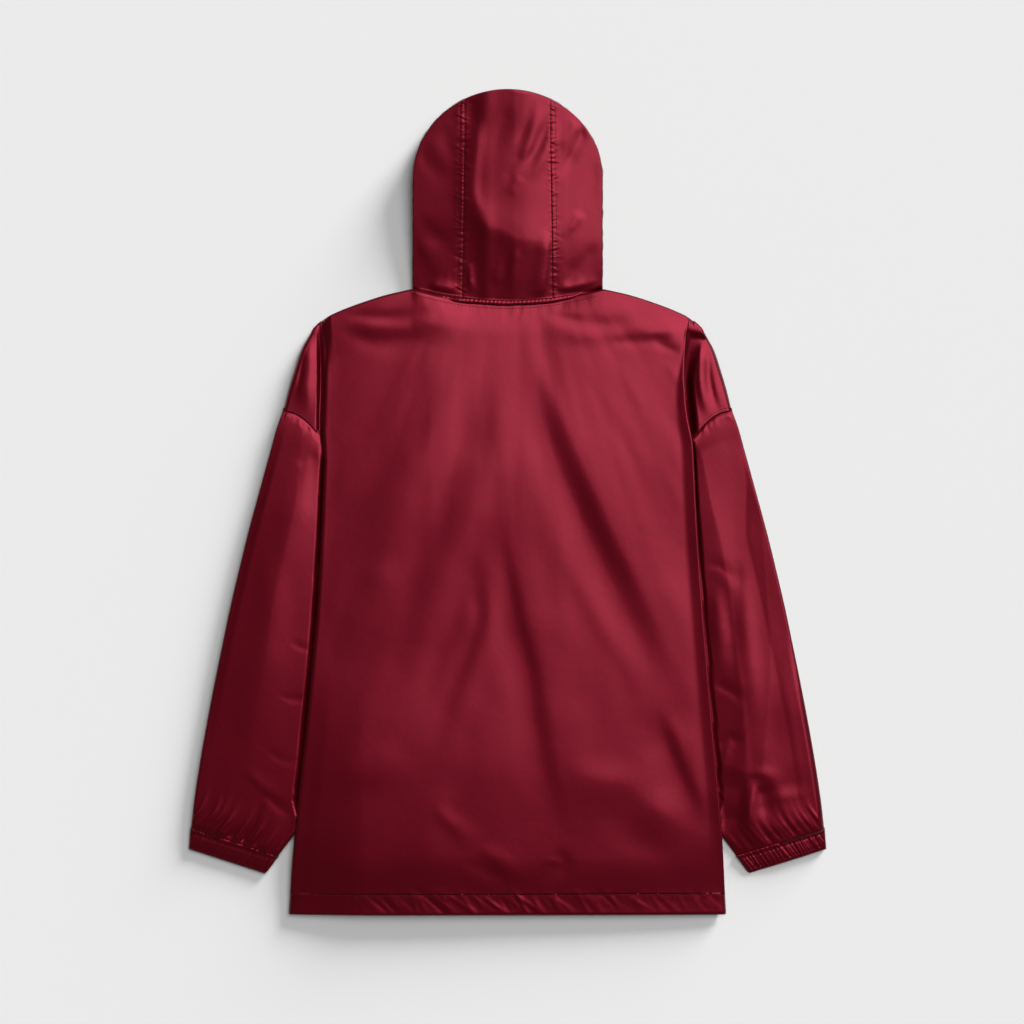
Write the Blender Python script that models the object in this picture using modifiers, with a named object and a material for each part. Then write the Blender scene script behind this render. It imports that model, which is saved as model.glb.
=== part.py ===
"""Models a hooded nylon parka that lies flat on its front, with its back up and its sleeves beside it.

Run it with: blender --background --python part.py
+Z points out of the back, +Y to the hood, and X = 0 is the middle of the back. Sizes here are in
millimetres, and MM turns them into Blender's metres. Every piece of cloth is the middle surface of
its wall, to which a Solidify modifier gives the thickness.
"""

import bisect
import math
from collections import namedtuple

import bmesh
import bpy
from mathutils import Matrix

MM = 0.001
PARKA = "parka"

# Cloth, and the room between two pieces at a seam.
CLOTH = 1.0
CUFF_CLOTH = 2.0
SEAM_GAP = 0.4
ZIP_GAP = 0.52
ARMHOLE_GAP = 1.1  # these two seams join walls that lean, so they take more
NECK_GAP = 0.9
FLOOR_MID = CLOTH / 2

# Heights of the middle of the wall.
EDGE_MID = 3.2  # where the back meets the front at a folded edge
SEAM_DROP = 0.5  # how far the front's edge stays below the back's
FRONT_ROUND = 4.0
CROWN = 15.0  # the middle of the back
SIDE_SEAM = 6.5  # the back's side edge, where it lies over a sleeve
HEM_SEAM = 5.4  # the same at the hem
ROLL = 4.0  # how far the folded side of the back stands above its side edge
HEM_CROWN = 9.5
OVER_SLEEVE = 4.4  # the front, where it lies over a sleeve
SLEEVE_REACH = 46.0  # how far the rise over a sleeve starts inside the side of the body
SLEEVE_SLOPE = 25.0
ZIP_SLOPE = 30.0  # the same beside the zip
TUCKED = 3.1  # the sleeve's upper wall where it is under the body
VALLEY = 3.3  # the dropped shoulder where it comes out from under the body
CAP_RIDGE = 12.0
SHOULDER_ROUND = 13.0  # width of the rounding along a shoulder
NECK_RISE = 30.0  # length over which the back levels off below the neck
FOLD_MARGIN = 12.0  # the broad folds end this far from the sides
FOLD_FADE = 60.0  # and fade over this length towards the neck and the hem
SLEEVE_ROUND = 12.0
TUCK_RISE = 20.0  # length over which a sleeve rises beside the body
BODY_CLEARANCE = 4.0
SLEEVE_CLEAR_Y = -395.0  # below here no part of a sleeve lies under the body
FOLD_BULGE = 0.55  # of a sleeve's inner fold, as a share of its height
HOOD_CROWN = 38.0
HOOD_ROUND = 52.0
HOOD_RISE = 85.0  # length over which the hood rises from the neck

HEM_Y = -514.4
HEM_SETTLE = 75.0  # length over which the back comes down to the hem

# Half-width of the body at the fold of its side.
Side = namedtuple("Side", "y half")
SIDES = [
    Side(-514.4, 272.4),
    Side(-410.0, 266.2),
    Side(-248.0, 252.2),
    Side(-73.0, 238.2),
    Side(77.0, 230.0),
    Side(194.0, 226.6),
    Side(227.0, 229.0),
]

# Right shoulder, from the corner of the neck to the armhole seam.
Place = namedtuple("Place", "x y")
SHOULDER = [
    Place(119.4, 264.4),
    Place(151.9, 256.9),
    Place(183.1, 246.9),
    Place(210.0, 236.5),
    Place(229.0, 226.6),
    Place(243.0, 213.5),
    Place(257.0, 189.4),
    Place(265.6, 164.4),
    Place(273.1, 139.4),
    Place(280.0, 111.4),
]
APEX = 243.0  # where the dropped shoulder starts along it
ARMHOLE_BOW = 9.0

# Back half of the neck seam.
Neck = namedtuple("Neck", "x y mid")
NECK_BACK = [
    Neck(0.0, 246.9, 12.6),
    Neck(28.0, 247.9, 12.6),
    Neck(56.0, 250.8, 12.5),
    Neck(88.0, 256.6, 12.0),
    Neck(108.0, 261.4, 9.5),
    Neck(119.4, 264.4, EDGE_MID),
]
NECK_DROP = 74.4  # how much lower the neck is at the front
NECK_FRONT_X = [9.0, 17.0, 34.0, 60.0, 89.0, 116.0]

# Rows of the back and fronts, as distances below the top edge at the middle of the back.
ROW_DROPS = [0, 1, 3.5, 9, 22, 48, 95, 151, 166, 205, 265, 335, 410, 490, 570, 640, 700, 738, 760.9]
UNDERARM = ROW_DROPS.index(151)
BODY_SHARES = [0, 0.1223, 0.2445, 0.384, 0.4716, 0.5214, 0.64, 0.76, 0.87]
TOP_HALF = 229.0

# The fold between the body and the dropped shoulder. Each point has its reach from the side fold,
# folded and unfolded, and its share of the drop from the body to the shoulder. A tuck of 1 moves it
# in by the depth of the pleat.
Pleat = namedtuple("Pleat", "folded unfolded tuck drop")
PLEAT = [
    Pleat(-8.0, -8.0, 0, 0.0),
    Pleat(-2.4, -6.5, 0, 0.05),
    Pleat(0.0, -5.0, 0, 0.29),
    Pleat(-2.0, -3.5, 0, 0.53),
    Pleat(2.0, -2.0, 1, 0.56),
    Pleat(0.0, -0.5, 1, 0.76),
    Pleat(2.0, 1.0, 1, 0.98),
    Pleat(2.5, 2.5, 0, 1.0),
]
SIDE_SEAM_POINT = 3  # the pleat's point where the body ends below the underarm
PLEAT_TOP = 227.0
PLEAT_START = 5.0
PLEAT_SLOPE = 0.10
PLEAT_FORM = 75.0  # length over which the pleat forms below the shoulder

# Shares of the way from the body to the outer edge, on the dropped shoulders and the sleeves.
SLEEVE_SHARES = [0, 0.14, 0.32, 0.52, 0.72, 0.88, 0.97, 1]

# Right sleeve, from the armhole to the cuff: its outer and inner edge and its height.
Sleeve = namedtuple("Sleeve", "outer_x outer_y inner_x inner_y crown")
SLEEVE = [
    Sleeve(280.0, 111.4, 232.3, 79.0, CAP_RIDGE),
    Sleeve(288.1, 89.4, 231.5, 58.0, 13.5),
    Sleeve(296.0, 61.0, 226.0, 32.0, 15.0),
    Sleeve(308.8, 14.4, 221.5, -14.0, 16.5),
    Sleeve(322.5, -36.0, 222.5, -64.0, 17.0),
    Sleeve(334.6, -85.0, 226.0, -114.0, 17.0),
    Sleeve(345.8, -133.0, 230.0, -163.0, 17.0),
    Sleeve(356.0, -182.0, 234.5, -213.0, 17.0),
    Sleeve(366.0, -231.0, 239.5, -263.0, 16.5),
    Sleeve(375.2, -279.0, 245.0, -311.0, 16.0),
    Sleeve(383.6, -327.0, 251.5, -357.0, 16.0),
    Sleeve(390.4, -372.0, 264.5, -402.0, 15.0),
    Sleeve(394.3, -405.8, 289.3, -439.3, 12.0),
]
CUFF = [
    Sleeve(394.5, -406.9, 289.7, -440.4, 11.4),
    Sleeve(395.3, -411.0, 291.6, -444.0, 12.6),
    Sleeve(396.6, -429.0, 302.0, -459.5, 12.2),
    Sleeve(397.0, -433.4, 304.4, -463.2, 10.4),
]

# The hood's outline is straight up to its dome, which is half an ellipse.
HOOD_HALF = 118.6
DOME_Y = 402.0
DOME_RISE = 112.0
HOOD_SEAM_LOW = 56.0
HOOD_SEAM_HIGH = 52.0
HOOD_ROWS = [0, 0.05, 0.12, 0.22, 0.35, 0.49, 0.62, 0.74, 0.84, 0.91, 0.96, 0.988, 1]
HOOD_SIDE_SHARES = [0, 0.25, 0.511, 0.7, 0.8307, 0.92, 0.975, 1]
HOOD_CENTER_SHARES = [-1, -0.5, 0, 0.5, 1]
# Edge of the face opening on the underside, from the zip to the top of the hood.
Opening = namedtuple("Opening", "share x y")
FACE_OPENING = [
    Opening(0.0, 9.0, 191.0),
    Opening(0.22, 46.0, 250.0),
    Opening(0.45, 69.0, 318.0),
    Opening(0.7, 73.0, 396.0),
    Opening(0.88, 66.0, 446.0),
    Opening(1.0, 50.0, 472.0),
]

BINDING_REACH = 92.0
BINDING_HALF_WIDTH = 3.0
BINDING_HALF_HEIGHT = 1.4
BINDING_DROP = 2.4  # below the neck seam
BINDING_LIFT = 0.5
BINDING_SIDES = 10
BINDING_STEPS = 16

# Broad soft folds of the back: a line of three points, from the neck down. The wall rises by RISE to
# the right of the line and dips as much to its left, or it is a plain ridge where the kind is ridge.
Fold = namedtuple("Fold", "kind x0 y0 x1 y1 x2 y2 width rise")
BACK_FOLDS = [
    Fold("step", 22, 180, 84, 4, 214, -246, 26, 2.6),
    Fold("step", 0, -70, 24, -225, 70, -440, 24, 2.0),
    Fold("ridge", -48, 150, -112, 24, -180, -110, 24, 1.6),
    Fold("ridge", -6, 120, -70, -60, -112, -230, 28, 1.8),
    Fold("ridge", 120, -60, 180, -250, 240, -400, 26, 1.6),
]

# Zip.
ZIP_LOW = 1.8  # middle of the tape's thickness, above the floor
ZIP_HIGH = 6.3  # the same where the slider lifts it
ZIP_LIFT_FROM = 85.0
ZIP_LIFT_TO = 140.0
TAPE_IN = 3.1
TAPE_OUT = 15.0
TAPE_THICKNESS = 0.8
CHAIN_HALF = 2.7
CHAIN_THICKNESS = 2.4
CHAIN_TOP = 172.0
CHAIN_BOTTOM = -508.0
ZIP_TOP = 189.0
SLIDER_Y = 170.0
SLIDER_LENGTH = 15.0
SLIDER_HALF = 4.6
SLIDER_PLATE = 0.8
SLIDER_CLEAR = 0.3
LUG_THICKNESS = 0.9
LUG_LENGTH = 4.4
PIN_DROP = 2.0  # from the slider's plate to the pull's pin
PIN_RADIUS = 0.5
EYE_INNER = 0.85
EYE_OUTER = 1.45
PULL_EYE_HALF = 2.1
PULL_HALF = 3.6
PULL_LENGTH = 30.0
PULL_NECK = 8.0
PULL_THICKNESS = 1.2
PULL_REST = 1.8  # degrees below level, so that its end almost touches the floor
STOP_SIZE = (1.8, 4.0, 2.4)
STOP_X = 1.7
STOP_Y = 181.0
BOX_SIZE = (5.4, 8.0, 2.8)

Finish = namedtuple("Finish", "color roughness metallic")
FINISHES = {
    "nylon": Finish((0.235, 0.012, 0.032, 1), 0.36, 0.0),
    "tape": Finish((0.13, 0.008, 0.02, 1), 0.7, 0.0),
    "zip_metal": Finish((0.33, 0.27, 0.24, 1), 0.35, 1.0),
}


# Helpers


def mix(start, end, share):
    return start + (end - start) * share


def smoothstep(value):
    value = min(max(value, 0.0), 1.0)
    return value * value * (3 - 2 * value)


def quarter_round(value):
    """Rises from 0 upright and levels off at 1, as a quarter of a circle does."""
    value = min(max(value, 0.0), 1.0)
    return math.sqrt(1 - (1 - value) ** 2)


def straight(keys, values, key):
    """The value at a key, on straight lines between the rows of a table."""
    place = min(max(bisect.bisect_right(keys, key), 1), len(keys) - 1)
    share = (key - keys[place - 1]) / (keys[place] - keys[place - 1])
    return mix(values[place - 1], values[place], min(max(share, 0.0), 1.0))


def smooth(keys, values, key):
    """The value at a key, on a smooth curve through the rows of a table."""
    place = min(max(bisect.bisect_right(keys, key), 1), len(keys) - 1)
    low, high = place - 1, place
    step = keys[high] - keys[low]
    share = min(max((key - keys[low]) / step, 0.0), 1.0)

    def slope(row):
        before, after = max(row - 1, 0), min(row + 1, len(keys) - 1)
        return (values[after] - values[before]) / (keys[after] - keys[before])

    start, end = slope(low) * step, slope(high) * step
    square, cube = share * share, share ** 3
    return (
        (2 * cube - 3 * square + 1) * values[low]
        + (cube - 2 * square + share) * start
        + (3 * square - 2 * cube) * values[high]
        + (cube - square) * end
    )


def side_fold(y):
    return smooth([row.y for row in SIDES], [row.half for row in SIDES], y)


def shoulder_y(x):
    return smooth([place.x for place in SHOULDER], [place.y for place in SHOULDER], x)


def neck_y(x):
    return straight([row.x for row in NECK_BACK], [row.y for row in NECK_BACK], abs(x))


def neck_mid(x):
    return straight([row.x for row in NECK_BACK], [row.mid for row in NECK_BACK], abs(x))


def front_neck_y(x):
    corner = NECK_BACK[-1]
    return corner.y - NECK_DROP * math.cos(math.pi / 2 * min(x / corner.x, 1))


# Heights


def over_sleeve(y):
    """1 where a sleeve lies under the side of the body, 0 above the underarm and at the hem."""
    return smoothstep((74.0 - y) / 13.0) * smoothstep((y + 440.0) / 40.0)


def side_seam_mid(y):
    return mix(HEM_SEAM, SIDE_SEAM, smoothstep((y + 500.0) / 90.0))


def fold_rise(folds, x, y):
    """What the broad folds add to the height of the wall."""
    total = 0.0
    for fold in folds:
        corners = [(fold.x0, fold.y0), (fold.x1, fold.y1), (fold.x2, fold.y2)]
        best = None
        for piece, (start, end) in enumerate(zip(corners, corners[1:])):
            along = (end[0] - start[0], end[1] - start[1])
            length = math.hypot(*along)
            offset = (x - start[0], y - start[1])
            share = (offset[0] * along[0] + offset[1] * along[1]) / length ** 2
            share = min(max(share, 0.0), 1.0)
            apart = (offset[0] - share * along[0], offset[1] - share * along[1])
            distance = math.hypot(*apart)
            right = along[0] * offset[1] - along[1] * offset[0]
            if best is None or distance < best[0]:
                best = (distance, math.copysign(distance, right), (piece + share) / 2)
        reach = best[1] / fold.width
        shape = math.exp(-reach * reach)
        if fold.kind == "step":
            shape *= reach * math.sqrt(2 * math.e) / 2
        total += fold.rise * shape * math.sin(math.pi * best[2]) ** 0.5
    return total


def body_mid(x, y, drop):
    """The back's height at a distance DROP below its top edge."""
    half = side_fold(y)
    share = min(abs(x) / half, 1.0)
    edge = side_seam_mid(y) + ROLL
    crown = mix(HEM_CROWN, CROWN, smoothstep((y - HEM_Y) / HEM_SETTLE))
    level = edge + (crown - edge) * (1 - share ** 4)
    inside = smoothstep((half - FOLD_MARGIN - abs(x)) / 40)
    inside *= smoothstep(drop / FOLD_FADE) * smoothstep((y - HEM_Y) / FOLD_FADE)
    level += fold_rise(BACK_FOLDS, x, y) * inside
    corner = NECK_BACK[-1].x
    if abs(x) < corner:
        return mix(neck_mid(x), level, smoothstep(drop / NECK_RISE))
    return mix(EDGE_MID, level, quarter_round(drop / SHOULDER_ROUND))


def zip_mid(y):
    return mix(ZIP_LOW, ZIP_HIGH, smoothstep((y - ZIP_LIFT_FROM) / (ZIP_LIFT_TO - ZIP_LIFT_FROM)))


def front_mid(x, y):
    over_zip = zip_mid(y) + TAPE_THICKNESS / 2 + ZIP_GAP + CLOTH / 2
    level = mix(over_zip, FLOOR_MID, smoothstep((x - TAPE_OUT - 2) / ZIP_SLOPE))
    inner_foot = side_fold(y) - SLEEVE_REACH
    rise = (OVER_SLEEVE - FLOOR_MID) * smoothstep((x - inner_foot) / SLEEVE_SLOPE)
    return level + rise * over_sleeve(y)


def hood_depth(x, y):
    """How far a point of the hood lies inside its outline."""
    if y < DOME_Y:
        return HOOD_HALF - abs(x)
    return (1 - math.hypot(x / HOOD_HALF, (y - DOME_Y) / DOME_RISE)) * (HOOD_HALF + DOME_RISE) / 2


def hood_mid(x, y):
    dome = mix(EDGE_MID, HOOD_CROWN, quarter_round(hood_depth(x, y) / HOOD_ROUND))
    risen = math.sin(math.pi / 2 * min(max((y - neck_y(x)) / HOOD_RISE, 0.0), 1.0))
    return mix(neck_mid(x), dome, risen)


# Making objects


def material(name):
    finish = FINISHES[name]
    made = bpy.data.materials.get(name)
    if made:
        return made
    made = bpy.data.materials.new(name)
    made.use_nodes = True
    shader = made.node_tree.nodes["Principled BSDF"]
    shader.inputs["Base Color"].default_value = finish.color
    shader.inputs["Roughness"].default_value = finish.roughness
    shader.inputs["Metallic"].default_value = finish.metallic
    return made


def add_object(name, mesh, finish, parts):
    mesh.materials.append(material(finish))
    made = bpy.data.objects.new(name, mesh)
    parts.objects.link(made)
    return made


def grid_mesh(name, rows, around=False, side=1):
    """A mesh through rows of points, where None marks a place without cloth. SIDE -1 mirrors it."""
    shape = bmesh.new()

    def corner(point):
        if point is None:
            return None
        x, y, z = point
        return shape.verts.new((side * x * MM, y * MM, z * MM))

    corners = [[corner(point) for point in row] for row in rows]
    count = len(rows[0])
    for upper, lower in zip(corners, corners[1:]):
        for column in range(count if around else count - 1):
            following = (column + 1) % count
            face = [upper[column], lower[column], lower[following], upper[following]]
            if all(face):
                shape.faces.new(face)
    bmesh.ops.remove_doubles(shape, verts=shape.verts, dist=0.01 * MM)
    bmesh.ops.recalc_face_normals(shape, faces=shape.faces)
    mesh = bpy.data.meshes.new(name)
    shape.to_mesh(mesh)
    shape.free()
    mesh.shade_smooth()
    mesh.set_sharp_from_angle(angle=math.radians(50))
    return mesh


def thicken(made, thickness=CLOTH):
    wall = made.modifiers.new("wall", "SOLIDIFY")
    wall.thickness = thickness * MM
    wall.offset = 0
    return made


def cloth(name, rows, parts, around=False, side=1, thickness=CLOTH, finish="nylon"):
    return thicken(add_object(name, grid_mesh(name, rows, around, side), finish, parts), thickness)


# Back and fronts


def row_y(top, drop):
    """Where a row crosses a column whose top edge is at TOP."""
    return top - drop * (top - HEM_Y) / ROW_DROPS[-1]


def top_y(x):
    return neck_y(x) if x < NECK_BACK[-1].x else shoulder_y(x)


def shoulder_point(share):
    """A point of the dropped shoulder's outer edge, from its start to the armhole."""
    low = max(index for index, place in enumerate(SHOULDER) if place.x <= APEX)
    places = SHOULDER[low:]
    lengths = [0.0]
    for start, end in zip(places, places[1:]):
        lengths.append(lengths[-1] + math.hypot(end.x - start.x, end.y - start.y))
    here = share * lengths[-1]
    x = smooth(lengths, [place.x for place in places], here)
    return x, smooth(lengths, [place.y for place in places], here)


def cap_edge(row):
    """The inner and outer end of a row of the dropped shoulder."""
    drop = ROW_DROPS[row]
    inner_top = TOP_HALF + PLEAT[-1].unfolded
    y = row_y(shoulder_y(inner_top), drop)
    reach = PLEAT[-1].folded
    return (side_fold(y) + reach, y), shoulder_point(drop / ROW_DROPS[UNDERARM])


def cap_place(row, share):
    inner, outer = cap_edge(row)
    x, y = mix(inner[0], outer[0], share), mix(inner[1], outer[1], share)
    if row == 0:
        return x, shoulder_y(x)
    bow = ARMHOLE_BOW * ROW_DROPS[row] / ROW_DROPS[UNDERARM]
    return x, y + bow * 4 * share * (1 - share)


def pleat_formed(y):
    return smoothstep((PLEAT_TOP - y) / PLEAT_FORM)


def cap_mid(row, share):
    """Height of the dropped shoulder: a valley beside the body, a ridge, and the folded edge."""
    inner, outer = cap_edge(row)
    width = math.hypot(outer[0] - inner[0], outer[1] - inner[1])
    formed = pleat_formed(inner[1])
    valley = mix(CAP_RIDGE, VALLEY, formed)
    level = mix(valley, CAP_RIDGE, smoothstep(share * width / 20))
    inside = (1 - share) * width
    if row < UNDERARM:
        inside = min(ROW_DROPS[row], inside)
    return mix(EDGE_MID, level, quarter_round(inside / SHOULDER_ROUND))


def pleat_points(row):
    """The fold at the side of the body. Below the underarm it ends at the side seam."""
    drop = ROW_DROPS[row]
    below = row > UNDERARM
    points = []
    for point in PLEAT[: SIDE_SEAM_POINT + 1] if below else PLEAT:
        y = row_y(shoulder_y(TOP_HALF + point.unfolded), drop)
        formed = 1.0 if below else pleat_formed(y)
        depth = PLEAT_START + PLEAT_SLOPE * (PLEAT_TOP - y)
        half = side_fold(y)
        x = half + mix(point.unfolded, point.folded - point.tuck * depth, formed)
        start = body_mid(half + PLEAT[0].folded, y, drop)
        if below:
            mid = mix(start, side_seam_mid(y), point.drop / PLEAT[SIDE_SEAM_POINT].drop)
        else:
            even = (point.unfolded - PLEAT[0].unfolded) / (PLEAT[-1].unfolded - PLEAT[0].unfolded)
            mid = mix(start, cap_mid(row, 0), mix(even, point.drop, formed))
        points.append((x, y, mid))
    return points


def back_half():
    rows = []
    for row, drop in enumerate(ROW_DROPS):
        points = []
        for share in BODY_SHARES:
            y = row_y(top_y(share * TOP_HALF), drop)
            x = share * side_fold(y)
            points.append((x, y, body_mid(x, y, drop)))
        points += pleat_points(row)
        if row > UNDERARM:
            points += [None] * (len(PLEAT) - SIDE_SEAM_POINT - 1 + len(SLEEVE_SHARES) - 1)
        else:
            points += [(*cap_place(row, share), cap_mid(row, share)) for share in SLEEVE_SHARES[1:]]
        rows.append(points)
    return rows


def add_back(parts):
    back = add_object("back", grid_mesh("back", back_half()), "nylon", parts)
    mirror = back.modifiers.new("other half", "MIRROR")
    mirror.merge_threshold = 0.01 * MM
    thicken(back)


def front_top(x):
    return front_neck_y(x) if x < NECK_BACK[-1].x else shoulder_y(x)


def front_rows():
    """The right front, from the zip to the side seam, and to the dropped shoulder's edge above it."""
    rows = []
    for row, drop in enumerate(ROW_DROPS):
        points = []
        for top_x in NECK_FRONT_X + [share * TOP_HALF for share in BODY_SHARES[5:]]:
            y = row_y(front_top(top_x), drop)
            outwards = smoothstep((top_x - NECK_FRONT_X[1]) / 60)
            x = mix(top_x, top_x * side_fold(y) / TOP_HALF, outwards)
            points.append((x, y, front_edge_mid(top_x, x, y, drop)))
        for reach in (-20.0, -9.0):
            y = row_y(shoulder_y(TOP_HALF + reach), drop)
            x = side_fold(y) + reach
            points.append((x, y, front_edge_mid(TOP_HALF, x, y, drop)))
        points.append(front_side_point(row))
        if row > UNDERARM:
            points += [None] * len(SLEEVE_SHARES)
        else:
            points += [front_cap_point(row, share) for share in SLEEVE_SHARES]
        rows.append(points)
    return rows


def front_edge_mid(top_x, x, y, drop):
    """The front's height, which comes up to meet the back along the shoulder."""
    level = front_mid(x, y)
    if top_x < NECK_BACK[-1].x:
        return level
    return mix(EDGE_MID - SEAM_DROP, level, quarter_round(drop / FRONT_ROUND))


def front_side_point(row):
    back_edge = pleat_points(row)[SIDE_SEAM_POINT]
    x, y, mid = back_edge
    if row > UNDERARM:
        return x - 0.45, y, mid - 0.4
    return x, y, front_edge_mid(TOP_HALF, x, y, ROW_DROPS[row])


def front_cap_point(row, share):
    x, y = cap_place(row, share)
    inner, outer = cap_edge(row)
    width = math.hypot(outer[0] - inner[0], outer[1] - inner[1])
    inside = (1 - share) * width
    if row < UNDERARM:
        inside = min(ROW_DROPS[row], inside)
    return x, y, mix(EDGE_MID - SEAM_DROP, FLOOR_MID, quarter_round(inside / FRONT_ROUND))


def add_fronts(parts):
    for name, side in (("front_left", -1), ("front_right", 1)):
        cloth(name, front_rows(), parts, side=side)


# Sleeves and cuffs


def sleeve_ring(row, wall, bow=0.0, apart=0.0):
    """A flattened tube: over the top from its outer to its inner edge, and back along the floor.

    BOW curves its end as the armhole is curved, and APART moves it away from the armhole.
    """
    width = math.hypot(row.outer_x - row.inner_x, row.outer_y - row.inner_y)
    floor = wall / 2
    inward = ((row.inner_x - row.outer_x) / width, (row.inner_y - row.outer_y) / width)

    def place(share, mid, further_in=0.0):
        x = mix(row.inner_x, row.outer_x, share) + inward[0] * further_in - inward[1] * apart
        y = mix(row.inner_y, row.outer_y, share) + inward[1] * further_in + inward[0] * apart
        return x, y + bow * 4 * share * (1 - share), mid

    ring = []
    for share in reversed(SLEEVE_SHARES):
        x, y, _ = place(share, 0)
        clear = x - side_fold(y) - PLEAT[-1].folded
        if y < SLEEVE_CLEAR_Y:
            clear = share * width + BODY_CLEARANCE
        level = mix(TUCKED, row.crown, smoothstep(clear / TUCK_RISE))
        inside = (1 - share) * width / SLEEVE_ROUND
        ring.append(place(share, mix(EDGE_MID, level, quarter_round(inside))))
    fold_height = ring[-1][2] - floor
    ring.append(place(0, floor + fold_height / 2, FOLD_BULGE * fold_height))
    ring += [place(share, floor) for share in SLEEVE_SHARES[:-2]]
    ring.append(place(0.98, floor + 0.3))
    return ring


def add_sleeves(parts):
    rings = []
    for index, row in enumerate(SLEEVE):
        bow = ARMHOLE_BOW * (1 - smoothstep(index / 4))
        rings.append(sleeve_ring(row, CLOTH, bow, ARMHOLE_GAP if index == 0 else 0.0))
    for name, side in (("sleeve_left", -1), ("sleeve_right", 1)):
        cloth(name, rings, parts, around=True, side=side)


def add_cuffs(parts):
    rings = [sleeve_ring(row, CUFF_CLOTH) for row in CUFF]
    for name, side in (("cuff_left", -1), ("cuff_right", 1)):
        cloth(name, rings, parts, around=True, side=side, thickness=CUFF_CLOTH)


# Hood


def hood_top_y(x):
    return DOME_Y + DOME_RISE * math.sqrt(1 - (x / HOOD_HALF) ** 2)


def hood_outline(share, last_x):
    """A point of the hood's outline, from the corner of the neck to where X is LAST_X on the dome."""
    upright = DOME_Y - NECK_BACK[-1].y
    last_angle = math.acos(last_x / HOOD_HALF)
    dome = last_angle * (HOOD_HALF + DOME_RISE) / 2
    here = share * (upright + dome)
    if here < upright:
        return HOOD_HALF, NECK_BACK[-1].y + here
    angle = (here - upright) / dome * last_angle
    return HOOD_HALF * math.cos(angle), DOME_Y + DOME_RISE * math.sin(angle)


def under_shares():
    """Shares of the way from the hood's outline to the edge of its face opening, on the underside."""
    outer, inner = NECK_BACK[-1].x, NECK_FRONT_X[0]
    return [(outer - x) / (outer - inner) for x in reversed(NECK_FRONT_X)]


def opening_point(share):
    shares = [row.share for row in FACE_OPENING]
    return (
        smooth(shares, [row.x for row in FACE_OPENING], share),
        smooth(shares, [row.y for row in FACE_OPENING], share),
    )


def under_mid(share):
    return mix(EDGE_MID, FLOOR_MID, quarter_round(share / 0.04)) if share < 0.04 else FLOOR_MID


def seam_half(share):
    return mix(HOOD_SEAM_LOW, HOOD_SEAM_HIGH, share)


def hood_side_rows():
    last_x = HOOD_SEAM_HIGH + SEAM_GAP / 2
    rows = []
    for along in HOOD_ROWS:
        seam_x = seam_half(along) + SEAM_GAP / 2
        seam_y = mix(neck_y(seam_x), hood_top_y(seam_x), along)
        edge_x, edge_y = hood_outline(along, last_x)
        lift = NECK_GAP if along == 0 else 0.0
        points = []
        for share in HOOD_SIDE_SHARES:
            x = mix(seam_x, edge_x, share)
            y = neck_y(x) if along == 0 else mix(seam_y, edge_y, share)
            points.append((x, y + lift, hood_mid(x, y)))
        open_x, open_y = opening_point(along)
        for share in under_shares():
            x, y = mix(edge_x, open_x, share), mix(edge_y, open_y, share)
            if along < 0.2:
                y = mix(front_neck_y(x) + lift, y, along / 0.2)
            points.append((x, y, under_mid(share)))
        rows.append(points)
    return rows


def hood_center_rows():
    rows = []
    for along in HOOD_ROWS:
        half = seam_half(along) - SEAM_GAP / 2
        lift = NECK_GAP if along == 0 else 0.0
        row = []
        for share in HOOD_CENTER_SHARES:
            x = share * half
            y = mix(neck_y(x), hood_top_y(x), along)
            row.append((x, y + lift, hood_mid(x, y)))
        rows.append(row)
    open_x, open_y = opening_point(1)
    for under in under_shares():
        half = mix(HOOD_SEAM_HIGH, open_x, under) - SEAM_GAP / 2
        row = []
        for share in HOOD_CENTER_SHARES:
            x = share * half
            row.append((x, mix(hood_top_y(x), open_y, under), under_mid(under)))
        rows.append(row)
    return rows


def add_hood(parts):
    cloth("hood_center", hood_center_rows(), parts)
    for name, side in (("hood_left", -1), ("hood_right", 1)):
        cloth(name, hood_side_rows(), parts, side=side)


def add_neck_binding(parts):
    """A flat roll over the neck seam, with closed ends."""
    rings = []
    for step in range(BINDING_STEPS + 1):
        x = mix(-BINDING_REACH, BINDING_REACH, step / BINDING_STEPS)
        base = neck_mid(x) + CLOTH / 2 + SEAM_GAP + BINDING_HALF_HEIGHT
        ring = []
        for turn in range(BINDING_SIDES):
            angle = 2 * math.pi * turn / BINDING_SIDES
            y = neck_y(x) - BINDING_DROP + BINDING_HALF_WIDTH * math.cos(angle)
            ring.append((x, y, base + BINDING_LIFT + BINDING_HALF_HEIGHT * math.sin(angle)))
        rings.append(ring)
    add_capped("neck_binding", rings, parts, "nylon")


def add_capped(name, rings, parts, finish, side=1):
    """A solid through rings of points, with its two ends filled."""
    shape = bmesh.new()
    corners = [[shape.verts.new((side * x * MM, y * MM, z * MM)) for x, y, z in ring] for ring in rings]
    count = len(rings[0])
    for before, after in zip(corners, corners[1:]):
        for place in range(count):
            following = (place + 1) % count
            shape.faces.new([before[place], after[place], after[following], before[following]])
    shape.faces.new(corners[0])
    shape.faces.new(corners[-1])
    bmesh.ops.recalc_face_normals(shape, faces=shape.faces)
    mesh = bpy.data.meshes.new(name)
    shape.to_mesh(mesh)
    shape.free()
    mesh.shade_smooth()
    mesh.set_sharp_from_angle(angle=math.radians(40))
    return add_object(name, mesh, finish, parts)


# Zip


def strip_rings(low_x, high_x, thickness, start_y, end_y):
    """Box sections that follow the height of the zip, at the rows of the fronts."""
    rows = [row_y(front_neck_y(NECK_FRONT_X[0]), drop) for drop in ROW_DROPS]
    rings = []
    for y in [end_y] + [y for y in rows if start_y + 2 < y < end_y - 2] + [start_y]:
        mid = zip_mid(y)
        low, high = mid - thickness / 2, mid + thickness / 2
        rings.append([(low_x, y, low), (high_x, y, low), (high_x, y, high), (low_x, y, high)])
    return rings


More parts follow.
